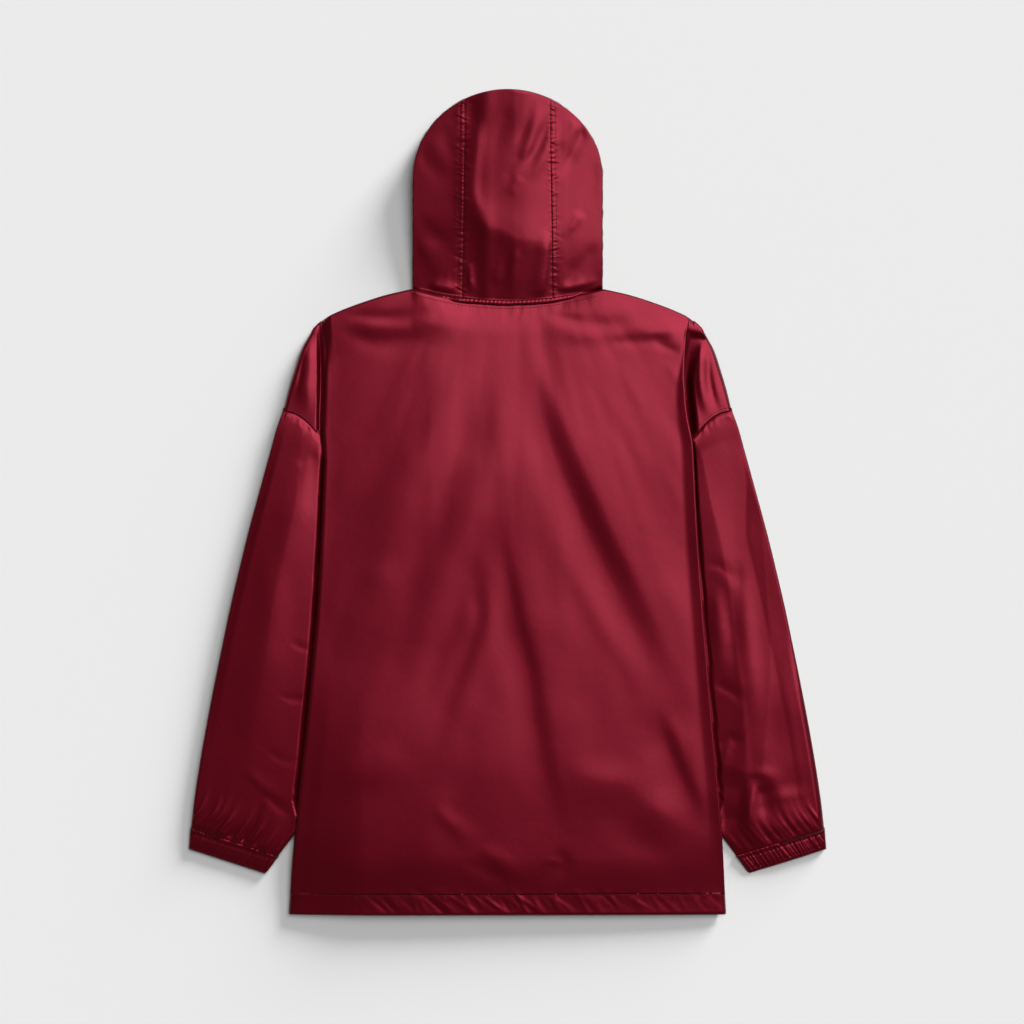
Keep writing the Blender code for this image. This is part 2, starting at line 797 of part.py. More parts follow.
def box(shape, size, center):
    made = bmesh.ops.create_cube(shape, size=MM)["verts"]
    bmesh.ops.scale(shape, vec=size, verts=made)
    bmesh.ops.translate(shape, vec=[value * MM for value in center], verts=made)


def box_object(name, size, center, parts, finish):
    shape = bmesh.new()
    box(shape, size, (0, 0, 0))
    mesh = bpy.data.meshes.new(name)
    shape.to_mesh(mesh)
    shape.free()
    made = add_object(name, mesh, finish, parts)
    made.location = [value * MM for value in center]
    return made


def cylinder_object(name, radius, length, center, parts, finish):
    """A cylinder along X."""
    shape = bmesh.new()
    bmesh.ops.create_cone(
        shape, cap_ends=True, segments=20, radius1=radius * MM, radius2=radius * MM, depth=length * MM
    )
    bmesh.ops.rotate(shape, verts=shape.verts, matrix=Matrix.Rotation(math.pi / 2, 3, "Y"))
    mesh = bpy.data.meshes.new(name)
    shape.to_mesh(mesh)
    shape.free()
    made = add_object(name, mesh, finish, parts)
    made.location = [value * MM for value in center]
    return made


def join(target, others, operation, cutters):
    """Adds or cuts OTHERS on TARGET with Boolean modifiers, and keeps them as hidden helpers."""
    for other in others:
        change = target.modifiers.new(other.name, "BOOLEAN")
        change.operation = operation
        change.object = other
        other.hide_render = True
        other.display_type = "WIRE"
        for collection in list(other.users_collection):
            collection.objects.unlink(other)
        cutters.objects.link(other)


def add_slider(parts, cutters):
    """Two plates on a post above the chain, and two lugs with the pull's pin on the side of the floor."""
    mid = zip_mid(SLIDER_Y)
    inner = CHAIN_THICKNESS / 2 + SLIDER_CLEAR
    plate_mid = inner + SLIDER_PLATE / 2
    size = (2 * SLIDER_HALF, SLIDER_LENGTH, SLIDER_PLATE)
    slider = box_object("zip_slider", size, (0, SLIDER_Y, mid - plate_mid), parts, "zip_metal")
    upper = box_object("slider_upper", size, (0, SLIDER_Y, mid + plate_mid), parts, "zip_metal")
    post_y = SLIDER_Y + SLIDER_LENGTH / 2 - 2
    post_height = 2 * (inner + SLIDER_PLATE / 2)
    post = box_object("slider_post", (4.0, 3.0, post_height), (0, post_y, mid), parts, "zip_metal")
    lug_height = PIN_DROP + 1.1
    lugs = []
    for side in (-1, 1):
        x = side * (PULL_EYE_HALF + SLIDER_CLEAR + LUG_THICKNESS / 2)
        z = mid - inner - SLIDER_PLATE - lug_height / 2 + 0.2
        lug_size = (LUG_THICKNESS, LUG_LENGTH, lug_height)
        lugs.append(box_object(f"slider_lug_{side}", lug_size, (x, SLIDER_Y, z), parts, "zip_metal"))
    pin_length = 2 * (PULL_EYE_HALF + SLIDER_CLEAR + LUG_THICKNESS - 0.1)
    pin = cylinder_object("slider_pin", PIN_RADIUS, pin_length, (0, SLIDER_Y, pin_mid()), parts, "zip_metal")
    join(slider, [upper, post, *lugs, pin], "UNION", cutters)


def pin_mid():
    return zip_mid(SLIDER_Y) - CHAIN_THICKNESS / 2 - SLIDER_CLEAR - SLIDER_PLATE - PIN_DROP


def add_pull(parts, cutters):
    """The pull tab, with its eye's axis at its origin. It lies towards the hem."""
    eye_center = (0, SLIDER_Y, pin_mid())
    pull = cylinder_object("zip_pull", EYE_OUTER, 2 * PULL_EYE_HALF, eye_center, parts, "zip_metal")
    neck_size = (2 * PULL_EYE_HALF, PULL_NECK, PULL_THICKNESS)
    neck_center = (0, -PULL_NECK / 2 - 1.0, 0)
    neck = box_object("pull_neck", neck_size, neck_center, parts, "zip_metal")
    tab_length = PULL_LENGTH - PULL_NECK
    tab_size = (2 * PULL_HALF, tab_length, PULL_THICKNESS)
    tab_center = (0, -PULL_NECK - tab_length / 2, 0)
    tab = box_object("pull_tab", tab_size, tab_center, parts, "zip_metal")
    eye = cylinder_object("pull_eye", EYE_INNER, 3 * PULL_EYE_HALF, (0, 0, 0), parts, "zip_metal")
    for helper in (neck, tab, eye):
        helper.parent = pull
    join(pull, [neck, tab], "UNION", cutters)
    join(pull, [eye], "DIFFERENCE", cutters)
    pull.rotation_euler.x = math.radians(PULL_REST)


def add_zip(parts, cutters):
    for name, side in (("zip_tape_left", -1), ("zip_tape_right", 1)):
        rings = strip_rings(TAPE_IN, TAPE_OUT, TAPE_THICKNESS, CHAIN_BOTTOM, ZIP_TOP)
        add_capped(name, rings, parts, "tape", side)
        stop_center = (side * STOP_X, STOP_Y, zip_mid(STOP_Y))
        box_object(name.replace("tape", "stop"), STOP_SIZE, stop_center, parts, "zip_metal")
    chain_end = CHAIN_BOTTOM + BOX_SIZE[1] + SEAM_GAP
    rings = strip_rings(-CHAIN_HALF, CHAIN_HALF, CHAIN_THICKNESS, chain_end, CHAIN_TOP)
    add_capped("zip_chain", rings, parts, "zip_metal")
    box_center = (0, CHAIN_BOTTOM + BOX_SIZE[1] / 2, zip_mid(CHAIN_BOTTOM))
    box_object("zip_box", BOX_SIZE, box_center, parts, "zip_metal")
    add_slider(parts, cutters)
    add_pull(parts, cutters)


def collection(name):
    made = bpy.data.collections.new(name)
    bpy.context.scene.collection.children.link(made)
    return made


def main():
    for old in list(bpy.data.objects):
        bpy.data.objects.remove(old, do_unlink=True)
    parts = collection(PARKA)
    cutters = collection("helpers")
    add_back(parts)
    add_fronts(parts)
    add_sleeves(parts)
    add_cuffs(parts)
    add_hood(parts)
    add_neck_binding(parts)
    add_zip(parts, cutters)


if __name__ == "__main__":
    main()
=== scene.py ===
"""Dresses a hooded nylon parka that lies flat on its front, with its back up and its sleeves beside it.

+Z points out of the back, +Y to the hood, and X = 0 is the middle of the back; -X is the wearer's left.
Sizes here are in millimetres, and MM turns them into Blender's metres. Each piece of cloth is a thin
shell on the form of its solid, with its creases laid over it as long soft folds.
"""

import math
from collections import namedtuple

import bpy
import numpy as np
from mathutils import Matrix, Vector
from mathutils.bvhtree import BVHTree


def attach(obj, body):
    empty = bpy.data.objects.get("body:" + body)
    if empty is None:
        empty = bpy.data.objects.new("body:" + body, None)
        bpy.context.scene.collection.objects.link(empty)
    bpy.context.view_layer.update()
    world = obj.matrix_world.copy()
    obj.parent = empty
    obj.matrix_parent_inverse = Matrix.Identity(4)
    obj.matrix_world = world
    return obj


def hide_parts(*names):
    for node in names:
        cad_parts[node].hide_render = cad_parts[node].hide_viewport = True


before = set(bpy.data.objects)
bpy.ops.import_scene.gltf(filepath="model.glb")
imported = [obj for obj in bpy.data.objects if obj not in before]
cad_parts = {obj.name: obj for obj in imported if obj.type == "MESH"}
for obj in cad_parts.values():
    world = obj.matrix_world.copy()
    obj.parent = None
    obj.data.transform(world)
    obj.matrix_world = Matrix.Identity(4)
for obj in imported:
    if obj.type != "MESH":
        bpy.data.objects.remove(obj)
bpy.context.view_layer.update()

bl_info = {
    "name": "Flat-laid hooded parka",
    "version": (1, 0, 0),
    "blender": (4, 5, 0),
    "location": "View3D > Sidebar > Parka",
    "description": "Makes the nylon shells, stitching, zip and stage of a hooded parka that lies flat",
    "category": "Object",
}

MM = 0.001
FAR = 1000

# Heights of the middle of the cloth, as on the solids.
EDGE = 3.2
SEAM_DROP = 0.5
CROWN = 15
HEM_CROWN = 11
SHOULDER_STAND = 2.6
SHOULDER_REACH = 66
SIDE_SEAM = 6.5
HEM_SEAM = 5.4
OVER_SLEEVE = 4.4
TUCKED = 3.1
VALLEY = 2.4
VALLEY_FOOT = 7.5
CAP_RIDGE = 12
FLOOR_MID = 0.5
LOWEST_TOP = 2.2
CUFF_MID = 1

# How far in from an edge its rounding reaches, or how high above it the cloth bulges.
ROLL = 8
ROLL_LEFT = 4
ROLL_RIGHT = 0.9
CAP_ROUND = 7
SLEEVE_ROUND = 2
HOOD_ROUND = 1.9
HOOD_PUFF = 4

# The back. A drop is a distance below its top edge, and its tops run from the middle to TOP_HALF.
HEM_Y = -514.4
HEM_SETTLE = 75
HEM_TURN = 26
HEM_STITCH_Y = -489
BODY_DROP = 760.9
UNDERARM_DROP = 151
# Just under the underarm, where the side seam starts, and a drop with no shoulder near it.
BELOW_UNDERARM = UNDERARM_DROP + 0.01
LOW_DOWN = 500
TOP_HALF = 229
BODY_EDGE = 0.952
APEX = 243
ARMHOLE_BOW = 9
NECK_X = 119.4
NECK_DROP = 74.4
# The streaks of the back fan out from here.
FAN_Y = 430

# How high the cloth of the back lies over its form: its left side below, its upper left and right, its
# left shoulder, the strip along its right edge, and its neck under the left of the hood.
DROOP = -5.4
LEFT_RISE = 2.4
RIGHT_RISE = 3.9
SHOULDER_LIFT = 1.6
STRIP_RISE = 2.6
NECK_STAND = 1.2
STITCH_DIP = -0.06
# Creases fade out this close to the top edge and the hem.
FREE_AFTER = 26

# Half-width of the body at the fold of its side: y, half.
SIDES = [(-514.4, 272.4), (-410, 266.2), (-248, 252.2), (-73, 238.2), (77, 230), (194, 226.6), (227, 229)]
# Right shoulder, from the corner of the neck to the armhole seam: x, y.
SHOULDER = [(119.4, 264.4), (151.9, 256.9), (183.1, 246.9), (210, 236.5), (229, 226.6), (243, 213.5),
            (257, 189.4), (265.6, 164.4), (273.1, 139.4), (280, 111.4)]
# Back half of the neck seam: x, y, height.
NECK_BACK = [(0, 246.9, 14.4), (28, 247.9, 14.4), (56, 250.8, 14.3), (88, 256.6, 13.8), (108, 261.4, 11),
             (119.4, 264.4, 3.2)]
NECK_END_Y = NECK_BACK[-1][1]

# The fold between the body and the dropped shoulder: place, folded, unfolded, tuck, drop.
PLEAT = [(0, -8, -8, 0, 0), (1, -2.4, -6.5, 0, 0.05), (2, 0, -5, 0, 0.29), (3, -2, -3.5, 0, 0.53),
         (4, 2, -2, 1, 0.56), (5, 0, -0.5, 1, 0.76), (6, 2, 1, 1, 0.98), (7, 2.5, 2.5, 0, 1)]
PLEAT_SEAM = 3
PLEAT_END = PLEAT[-1][1]
# Where it starts to open, how much lower it starts on the right, and how long it takes to open.
PLEAT_TOP = 227
PLEAT_LATE = 16
PLEAT_FORM = 75
# Its depth at its top, and how much deeper it gets with each millimetre down.
PLEAT_START = 5
PLEAT_SLOPE = 0.1
# Low ground between the body and the dropped shoulder: y, width.
VALLEY_RIGHT = [(227, 4), (206, 15), (190, 10), (170, 6), (150, 3.5), (130, 3.5), (105, 4.5), (80, 3)]
VALLEY_LEFT = [(227, 3), (206, 6), (190, 5), (160, 4), (110, 3.5), (80, 3)]
# How far the sides of the body draw in from SIDES: y, distance.
DRAWN_IN_RIGHT = [(215, 0), (196, 1.5), (172, 5), (150, 8), (120, 7), (100, 5), (74, 0.5), (60, 0)]
DRAWN_IN_LEFT = [(80, 0), (50, 2.6), (0, 3), (-50, 4), (-100, 5), (-150, 5.6), (-200, 5), (-250, 4.4),
                 (-300, 3.8), (-350, 2.8), (-410, 1.8), (-460, 0)]

# Right sleeve from the armhole to the cuff: place, outer x and y, inner x and y, height.
SLEEVE = [(0, 280, 111.4, 232.3, 79, 12), (1, 288.1, 89.4, 231.5, 58, 13.5), (2, 296, 61, 226, 32, 15),
          (3, 308.8, 14.4, 221.5, -14, 16.5), (4, 322.5, -36, 222.5, -64, 17),
          (5, 334.6, -85, 226, -114, 17), (6, 345.8, -133, 230, -163, 17),
          (7, 356, -182, 234.5, -213, 17), (8, 366, -231, 239.5, -263, 16.5),
          (9, 375.2, -279, 245, -311, 16), (10, 383.6, -327, 251.5, -357, 16),
          (11, 390.4, -372, 264.5, -402, 15), (12, 394.3, -405.8, 289.3, -439.3, 12)]
SLEEVE_END = 12
# Rings between one place and the next.
SLEEVE_STEPS = [14, 16, 24, 26, 26, 26, 26, 26, 26, 26, 28, 30]
# How high the top of a sleeve lies, against the height in SLEEVE.
SLEEVE_CROWN = 0.68
# Width of the slope along the inner edge of the right sleeve: y, width.
SLEEVE_SLOPE = [(90, 0), (50, 11), (0, 18), (-40, 26), (-100, 34), (-200, 38), (-300, 50), (-400, 50)]
# How far a sleeve's inner side stands out square from its inner line, against half its height.
INNER_REACH = 0.85
CUFF = [(0, 394.5, -406.9, 289.7, -440.4, 11.4), (1, 395.3, -411, 291.6, -444, 12.6),
        (2, 396.6, -429, 302, -459.5, 12.2), (3, 397, -433.4, 304.4, -463.2, 10.4)]

CUFF_STITCH_PLACE = 1.3
# The cuff's cloth and its elastic, and the zip's tape, in metres.
CUFF_SHELL = 0.0014
TAPE_SHELL = 0.0005

# Hood: an upright stretch under half an ellipse, and how far its seams are from its middle.
HOOD_HALF = 118.6
DOME_Y = 402
DOME_RISE = 112
HOOD_SEAM_LOW = 56
HOOD_SEAM_HIGH = 52
HOOD_LAP = 4
# How steeply its sides fall outward, and how far it leans for each millimetre of height.
HOOD_LEFT_FALL = 0.072
HOOD_RIGHT_FALL = 0.05
HOOD_LEAN = 0.2
# Shares of the hood's lower layer, from its edge to the face opening.
HOOD_UNDER = np.concatenate([[0.004, 0.012, 0.025, 0.04], np.linspace(0.07, 1, 16)])
# Height of its side panels beside the middle one: y, right, left.
HOOD_SIDE = [(250, 12, 11), (262, 14, 12.2), (290, 18.6, 15.4), (320, 22.4, 19.2), (350, 24.8, 23),
             (380, 27, 25.6), (410, 29.2, 28), (440, 31.6, 30.6), (470, 34.2, 33.2), (500, 36.8, 36.2),
             (514, 38, 37.8)]
# Height of its middle panel across the ridge on it: distance above the ridge, height.
HOOD_MIDDLE = [(-110, 9), (-60, 17), (-25, 22.8), (-6, 26), (6, 27), (35, 28.6), (65, 30.8), (95, 33.2),
               (125, 35.8), (155, 39), (180, 41.5)]
# The line of that ridge: x, y.
HOOD_RIDGE = [(-60, 370), (-48, 364), (-38, 357), (-27, 345), (-12, 341), (0, 335), (11, 329), (38, 326),
              (60, 326)]
# Edge of the face opening on the underside: share, x, y.
FACE_OPENING = [(0, 9, 191), (0.22, 46, 250), (0.45, 69, 318), (0.7, 73, 396), (0.88, 66, 446),
                (1, 50, 472)]
NECK_FRONT_X = 9

# The roll over the neck seam.
ROLL_REACH = 94
ROLL_DROP = 0.9
ROLL_RISE = 2.5
ROLL_LIFT = 1.9
ROLL_HALF_WIDTH = 3
ROLL_HALF_HEIGHT = 1.5

# Zip.
ZIP_LOW = 1.8
ZIP_HIGH = 6.3
ZIP_LIFT = (85, 140)
TAPE_IN = 3.1
TAPE_OUT = 15
TAPE_THICKNESS = 0.8
ZIP_ENDS = (-508, 189)
CHAIN_ENDS = (-499.5, 172)
TOOTH_PITCH = 2.6
TOOTH_CENTER = 1.15
TOOTH_LENGTH = 2.9
TOOTH_HEIGHT = 2.2

# Stitching. Real thread is 0.3 mm thick, which would not show, so it is drawn coarser.
STITCH = 3.2
STITCH_GAP = 1.3
THREAD = 0.38
THREAD_SIDES = 6
LARGEST_STEP = 2.5
THREAD_RINGS = [(0, 0.35), (0.14, 1), (0.86, 1), (1, 0.35)]

# A long soft fold: how high it stands (a trough is negative), its half-width on the left and on the right
# of its line as seen from above, the line itself, and how square its section is (2 is a bell).
Fold = namedtuple("Fold", "rise left right line sharp", defaults=(2.0,))

BODY_FOLDS = [
    # the strong crease from the neck to the right side, with the hollow before it and the ridge after it
    Fold(1.5, 17, 52, [(36, 190), (52, 150), (68, 112), (88, 62), (112, 8), (136, -44), (160, -92),
         (186, -146),
                       (214, -202), (236, -246), (250, -276)]),
    Fold(-1.15, 40, 16, [(14, 190), (34, 132), (50, 78), (72, 20), (94, -32), (120, -86), (146, -142),
         (176, -200),
                         (208, -252)]),
    Fold(0.5, 16, 20, [(20, 110), (34, 40), (58, -30), (84, -90), (116, -146), (146, -196), (182, -262),
         (214, -330)]),
    # the crease down the middle, which hooks to the right at its end
    Fold(1.0, 15, 40, [(6, -30), (14, -92), (26, -150), (44, -212), (54, -270), (66, -334), (84, -396),
         (98, -446)]),
    Fold(-1.1, 30, 14, [(-16, 10), (-8, -60), (2, -112), (12, -160), (26, -214), (32, -276), (46, -344),
         (60, -404),
                        (70, -446)]),
    Fold(-0.7, 12, 10, [(54, -430), (70, -448), (56, -462), (34, -466)]),
    # broad ridges and hollows that run down to the left
    Fold(1.2, 34, 20, [(-46, 206), (-62, 154), (-82, 110), (-112, 50), (-138, -14), (-160, -76),
         (-184, -140)]),
    Fold(-1.0, 16, 26, [(-30, 166), (-46, 108), (-62, 52), (-84, -6), (-110, -66), (-134, -122),
         (-150, -170)]),
    Fold(0.9, 26, 18, [(-14, 90), (-30, 24), (-50, -26), (-72, -80), (-96, -138), (-116, -200),
         (-130, -262)]),
    Fold(-0.8, 16, 16, [(-24, -10), (-42, -70), (-62, -124), (-84, -182), (-100, -240), (-108, -300)]),
    Fold(0.8, 14, 16, [(-14, -60), (-18, -112), (-28, -160), (-42, -206), (-56, -252), (-74, -306),
         (-92, -350)]),
    Fold(-0.7, 12, 12, [(-34, -70), (-38, -116), (-36, -150), (-50, -190), (-72, -236), (-84, -280)]),
    Fold(-0.35, 60, 22, [(-150, 190), (-176, 110), (-196, 30), (-214, -60), (-226, -150)]),
    Fold(0.6, 20, 24, [(-140, -60), (-166, -112), (-186, -152), (-196, -200)]),
    # along the right side
    Fold(1.0, 12, 24, [(200, -262), (216, -306), (238, -356), (256, -412)]),
    Fold(-1.0, 26, 11, [(176, -250), (196, -300), (218, -352), (242, -404), (252, -430)]),
    # the peak low on the right, and the hollow under it
    Fold(1.6, 40, 26, [(66, -322), (104, -344), (142, -350), (176, -378), (212, -402), (250, -416)], 1.7),
    Fold(-0.9, 26, 34, [(96, -386), (140, -398), (176, -424), (214, -444), (252, -452)]),
    # low left
    Fold(0.3, 16, 26, [(-120, -300), (-156, -320), (-190, -340), (-218, -352), (-250, -362)]),
    Fold(-0.3, 18, 22, [(-150, -342), (-188, -360), (-220, -374), (-256, -386)]),
    Fold(0.7, 24, 20, [(-66, -340), (-90, -384), (-104, -430), (-110, -470)]),
    # low middle
    Fold(0.5, 9, 12, [(-92, -372), (-74, -396), (-54, -412), (-40, -436)]),
    Fold(0.5, 9, 12, [(-44, -424), (-14, -442), (12, -462), (34, -476)]),
    Fold(-0.45, 9, 10, [(-60, -444), (-20, -462), (6, -478)]),
    # under the right shoulder
    Fold(-0.8, 9, 10, [(30, 244), (64, 229), (100, 221), (140, 221), (180, 228), (214, 236)]),
    Fold(0.5, 10, 12, [(50, 216), (90, 206), (136, 208), (176, 214)]),
    Fold(-0.6, 6, 8, [(120, 196), (160, 198), (196, 199), (222, 198)]),
    Fold(0.6, 6, 8, [(160, 206), (196, 211), (222, 218)]),
    Fold(-0.6, 5, 6, [(180, 196), (204, 188), (224, 178)]),
    Fold(0.5, 7, 7, [(196, 176), (212, 150), (219, 116), (222, 80)]),
    # under the left shoulder
    Fold(-0.8, 9, 9, [(-222, 238), (-182, 231), (-140, 228), (-104, 233), (-54, 246)]),
    Fold(-0.8, 14, 15, [(-214, 216), (-174, 200), (-136, 196), (-104, 202), (-74, 218)]),
    Fold(0.5, 10, 9, [(-208, 224), (-160, 214), (-120, 214), (-86, 224)]),
]


def xyz(x, y, z):
    return np.stack(np.broadcast_arrays(x, y, z), axis=-1)


def mix(start, end, share):
    return start + (end - start) * share


def ease(value):
    value = np.clip(value, 0.0, 1.0)
    return value * value * (3 - 2 * value)


def closing_up(count, power):
    """Shares from 0 to 1 that lie closer and closer together."""
    return 1 - (1 - np.linspace(0, 1, count)) ** power


def quarter_round(value):
    """Rises from 0 upright and levels off at 1, as a quarter of a circle does."""
    return np.sqrt(1 - (1 - np.clip(value, 0.0, 1.0)) ** 2)


def curve(table, at, column=1):
    """A column of the table at a key, on a smooth curve through its rows."""
    rows = np.asarray(table, float)
    keys, values = rows[:, 0], rows[:, column]
    slopes = np.gradient(values) / np.gradient(keys)
    at = np.clip(at, keys[0], keys[-1])
    low = np.clip(np.searchsorted(keys, at, side="right") - 1, 0, len(keys) - 2)
    step = keys[low + 1] - keys[low]
    share = (at - keys[low]) / step
    square, cube = share ** 2, share ** 3
    return ((2 * cube - 3 * square + 1) * values[low] + (cube - 2 * square + share) * slopes[low] * step
            + (3 * square - 2 * cube) * values[low + 1] + (cube - square) * slopes[low + 1] * step)


def look_down(table, y):
    """The second column of a table at Y, straight between its rows; its first column falls."""
    keys, values = np.array(table, float).T
    return np.interp(-y, -keys, values)


def lengths_along(xs, ys):
    return np.concatenate([[0], np.cumsum(np.hypot(np.diff(xs), np.diff(ys)))])


def uneven(at, period, seed):
    """Smooth noise between -1 and 1 along a line, with about one wave in each period."""
    table = np.random.RandomState(seed).uniform(-1, 1, 512)
    place = np.asarray(at, float) / period + 37.0
    low = np.floor(place).astype(int)
    return mix(table[low % 512], table[(low + 1) % 512], ease(place - low))


# Folds and puckers


def nearest_on_line(x, y, line):
    """The signed distance to a line, positive on its right, and the share of its length."""
    steps = len(line) - 1
    keyed = [(index, *point) for index, point in enumerate(line)]
    at = np.linspace(0, steps, 6 * steps + 1)
    xs, ys = curve(keyed, at, 1), curve(keyed, at, 2)
    lengths = lengths_along(xs, ys)
    best = np.full(np.shape(x), 1e9)
    side = np.zeros(np.shape(x))
    share = np.zeros(np.shape(x))
    for index in range(len(at) - 1):
        along_x, along_y = xs[index + 1] - xs[index], ys[index + 1] - ys[index]
        off_x, off_y = x - xs[index], y - ys[index]
        length = math.hypot(along_x, along_y)
        local = np.clip((off_x * along_x + off_y * along_y) / length ** 2, 0, 1)
        apart = np.hypot(off_x - local * along_x, off_y - local * along_y)
        closer = apart < best
        best = np.where(closer, apart, best)
        side = np.where(closer, np.sign(along_x * off_y - along_y * off_x), side)
        share = np.where(closer, (lengths[index] + local * length) / lengths[-1], share)
    return best * side, share


def fold_field(x, y, folds):
    """What long soft folds add to the height."""
    x, y = np.broadcast_arrays(x, y)
    total = np.zeros(x.shape)
    for seed, fold in enumerate(folds):
        points = np.array(fold.line)
        reach = 3 * max(fold.left, fold.right)
        near = (x > points[:, 0].min() - reach) & (x < points[:, 0].max() + reach)
        near &= (y > points[:, 1].min() - reach) & (y < points[:, 1].max() + reach)
        if not near.any():
            continue
        apart, share = nearest_on_line(x[near], y[near], fold.line)
        width = np.where(apart < 0, fold.left, fold.right) * mix(0.8, 1.25, share)
        width = width * (1 + 0.16 * uneven(share * 10, 2.9, seed + 50))
        ends = ease(share / 0.3) * ease((1 - share) / 0.4)
        depth = 1 + 0.3 * uneven(share * 10, 2.4, seed)
        total[near] += fold.rise * depth * ends * np.exp(-np.abs(apart / width) ** fold.sharp)
    return total


def ripple(x, y, size, seed):
    """Smooth noise between -1 and 1 over the plane, with about one swell in each SIZE."""
    table = np.random.RandomState(seed).uniform(-1, 1, (64, 64))
    across, along = x / size + 21.3, y / size + 17.7
    low_x, low_y = np.floor(across).astype(int), np.floor(along).astype(int)
    share_x, share_y = ease(across - low_x), ease(along - low_y)
    low = mix(table[low_x % 64, low_y % 64], table[(low_x + 1) % 64, low_y % 64], share_x)
    high = mix(table[low_x % 64, (low_y + 1) % 64], table[(low_x + 1) % 64, (low_y + 1) % 64], share_x)
    return mix(low, high, share_y)


def puckers(along, apart, length, spacing, reach, rise, width, seed, skew=0.4, lean=0.0):
    """Small uneven ridges across a seam: ALONG runs with the seam and APART away from it."""
    rng = np.random.RandomState(seed)
    total = np.zeros(np.shape(along))
    for index in range(max(int(length / spacing), 1)):
        center = (index + 0.5 + rng.uniform(-0.42, 0.42)) * spacing
        slant = lean + rng.uniform(-skew, skew)
        size = rise * rng.uniform(0.3, 1.0) * (1 if rng.uniform() < 0.72 else -0.8)
        wide = width * rng.uniform(0.65, 1.5) * (1 + 0.5 * np.abs(apart) / reach)
        far = reach * rng.uniform(0.4, 1.35)
        off = (along - center + slant * apart) / wide
        total += size * np.exp(-off ** 2 - (apart / far) ** 2)
    return total


# Meshes


def grid_faces(points, keep=None, around=False, flip=False):
    """The points and quads of a grid of rows; quads outside KEEP are left out."""
    rows, count = points.shape[:2]
    index = np.arange(rows * count).reshape(rows, count)
    right = np.roll(index, -1, axis=1) if around else index[:, 1:]
    left = index if around else index[:, :-1]
    quads = np.stack([left[:-1], left[1:], right[1:], right[:-1]], axis=-1).reshape(-1, 4)
    if keep is not None:
        quads = quads[keep.reshape(-1)[quads].all(axis=1)]
    if flip:
        quads = quads[:, ::-1]
    used = np.unique(quads)
    place = np.full(rows * count, -1)
    place[used] = np.arange(len(used))
    return points.reshape(-1, 3)[used], place[quads]


def add_object(name, data):
    made = bpy.data.objects.new(name, data)
    bpy.context.scene.collection.objects.link(made)
    return made


def add_mesh(name, *grids):
    """One mesh of several grids of points and faces, in millimetres."""
    points, faces, count = [], [], 0
    for made_points, made_faces in grids:
        points.append(made_points)
        faces += (made_faces + count).tolist()
        count += len(made_points)
    mesh = bpy.data.meshes.new(name)
    mesh.from_pydata((np.concatenate(points) * MM).tolist(), [], faces)
    mesh.update()
    mesh.shade_smooth()
    return add_object(name, mesh)


def add_shell(name, thickness, *grids):
    made = add_mesh(name, *grids)
    wall = made.modifiers.new("cloth", "SOLIDIFY")
    wall.thickness = thickness
    wall.offset = 0
    return made


def settle(made, node):
    """Puts the piece on the garment, in place of its solid."""
    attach(made, "garment")
    if node:
        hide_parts(node)
    return made


# Stitching


def surface_height(tree, x, y, below):
    """Height of the cloth straight above or below a point, or None where there is none."""
    start, way = (-0.1, 1) if below else (0.2, -1)
    hit = tree.ray_cast(Vector((x * MM, y * MM, start)), Vector((0, 0, way)))[0]
    return None if hit is None else hit.z / MM


def stitch_ends(line, tree, below):
    """Both ends of each stitch along a line of points, where the cloth has no step between them."""
    line = np.array(line, float)
    lengths = lengths_along(*line.T)
    found = []
    for start in np.arange(STITCH_GAP, lengths[-1] - STITCH, STITCH + STITCH_GAP):
        ends = []
        for here in (start, start + STITCH):
            x, y = np.interp(here, lengths, line[:, 0]), np.interp(here, lengths, line[:, 1])
            ends.append((x, y, surface_height(tree, x, y, below)))
        heights = [end[2] for end in ends]
        if None not in heights and abs(heights[0] - heights[1]) < LARGEST_STEP:
            found.append(ends)
    return found


def sew(name, cloth, lines, below=False):
    """Rows of stitches on a piece of cloth, as one mesh of short threads."""
    bpy.context.view_layer.update()
    tree = BVHTree.FromObject(cloth, bpy.context.evaluated_depsgraph_get())
    ends = np.array([pair for line in lines for pair in stitch_ends(line, tree, below)])
    ends[..., 2] += -0.1 if below else 0.1
    start, along = ends[:, 0], ends[:, 1] - ends[:, 0]
    across = np.cross(along, [0, 0, 1])
    across /= np.linalg.norm(across, axis=1, keepdims=True)
    up = np.cross(across, along)
    up /= np.linalg.norm(up, axis=1, keepdims=True)
    angle = np.arange(THREAD_SIDES)[None, :, None] / THREAD_SIDES * 2 * np.pi
    around = np.cos(angle) * across[:, None] + np.sin(angle) * up[:, None]
    rings = [(start + along * share)[:, None] + THREAD * size * around for share, size in THREAD_RINGS]
    made = add_mesh(name, *[grid_faces(stitch, around=True) for stitch in np.stack(rings, axis=1)])
    made.data.materials.append(polyester_thread(bpy.context.scene.parka_colors))
    return settle(made, None)


# Body


CAP_FOLDS = [
    # right: the crescent beside the hollow, and the ridge outside it
    Fold(2.2, 5, 10, [(244, 204), (240, 182), (239, 160), (241, 138), (247, 116), (254, 100)]),
    Fold(-0.7, 6, 5, [(249, 196), (250, 170), (252, 146), (258, 122), (266, 104)]),
    Fold(0.7, 5, 7, [(250, 200), (254, 176), (257, 150), (264, 124), (272, 106)]),
    # left: the broad ridge beside the hollow, and the thin one outside it
    Fold(2.4, 12, 7, [(-242, 208), (-246, 184), (-247, 160), (-249, 136), (-251, 104)]),
    Fold(0.8, 4, 3, [(-249, 206), (-256, 180), (-262, 154), (-268, 130)]),
    Fold(-0.6, 5, 4, [(-252, 196), (-257, 170), (-261, 146), (-265, 124)]),
]


def half_width(y):
    return curve(SIDES, y)


def shoulder_y(x):
    return curve(SHOULDER, x)


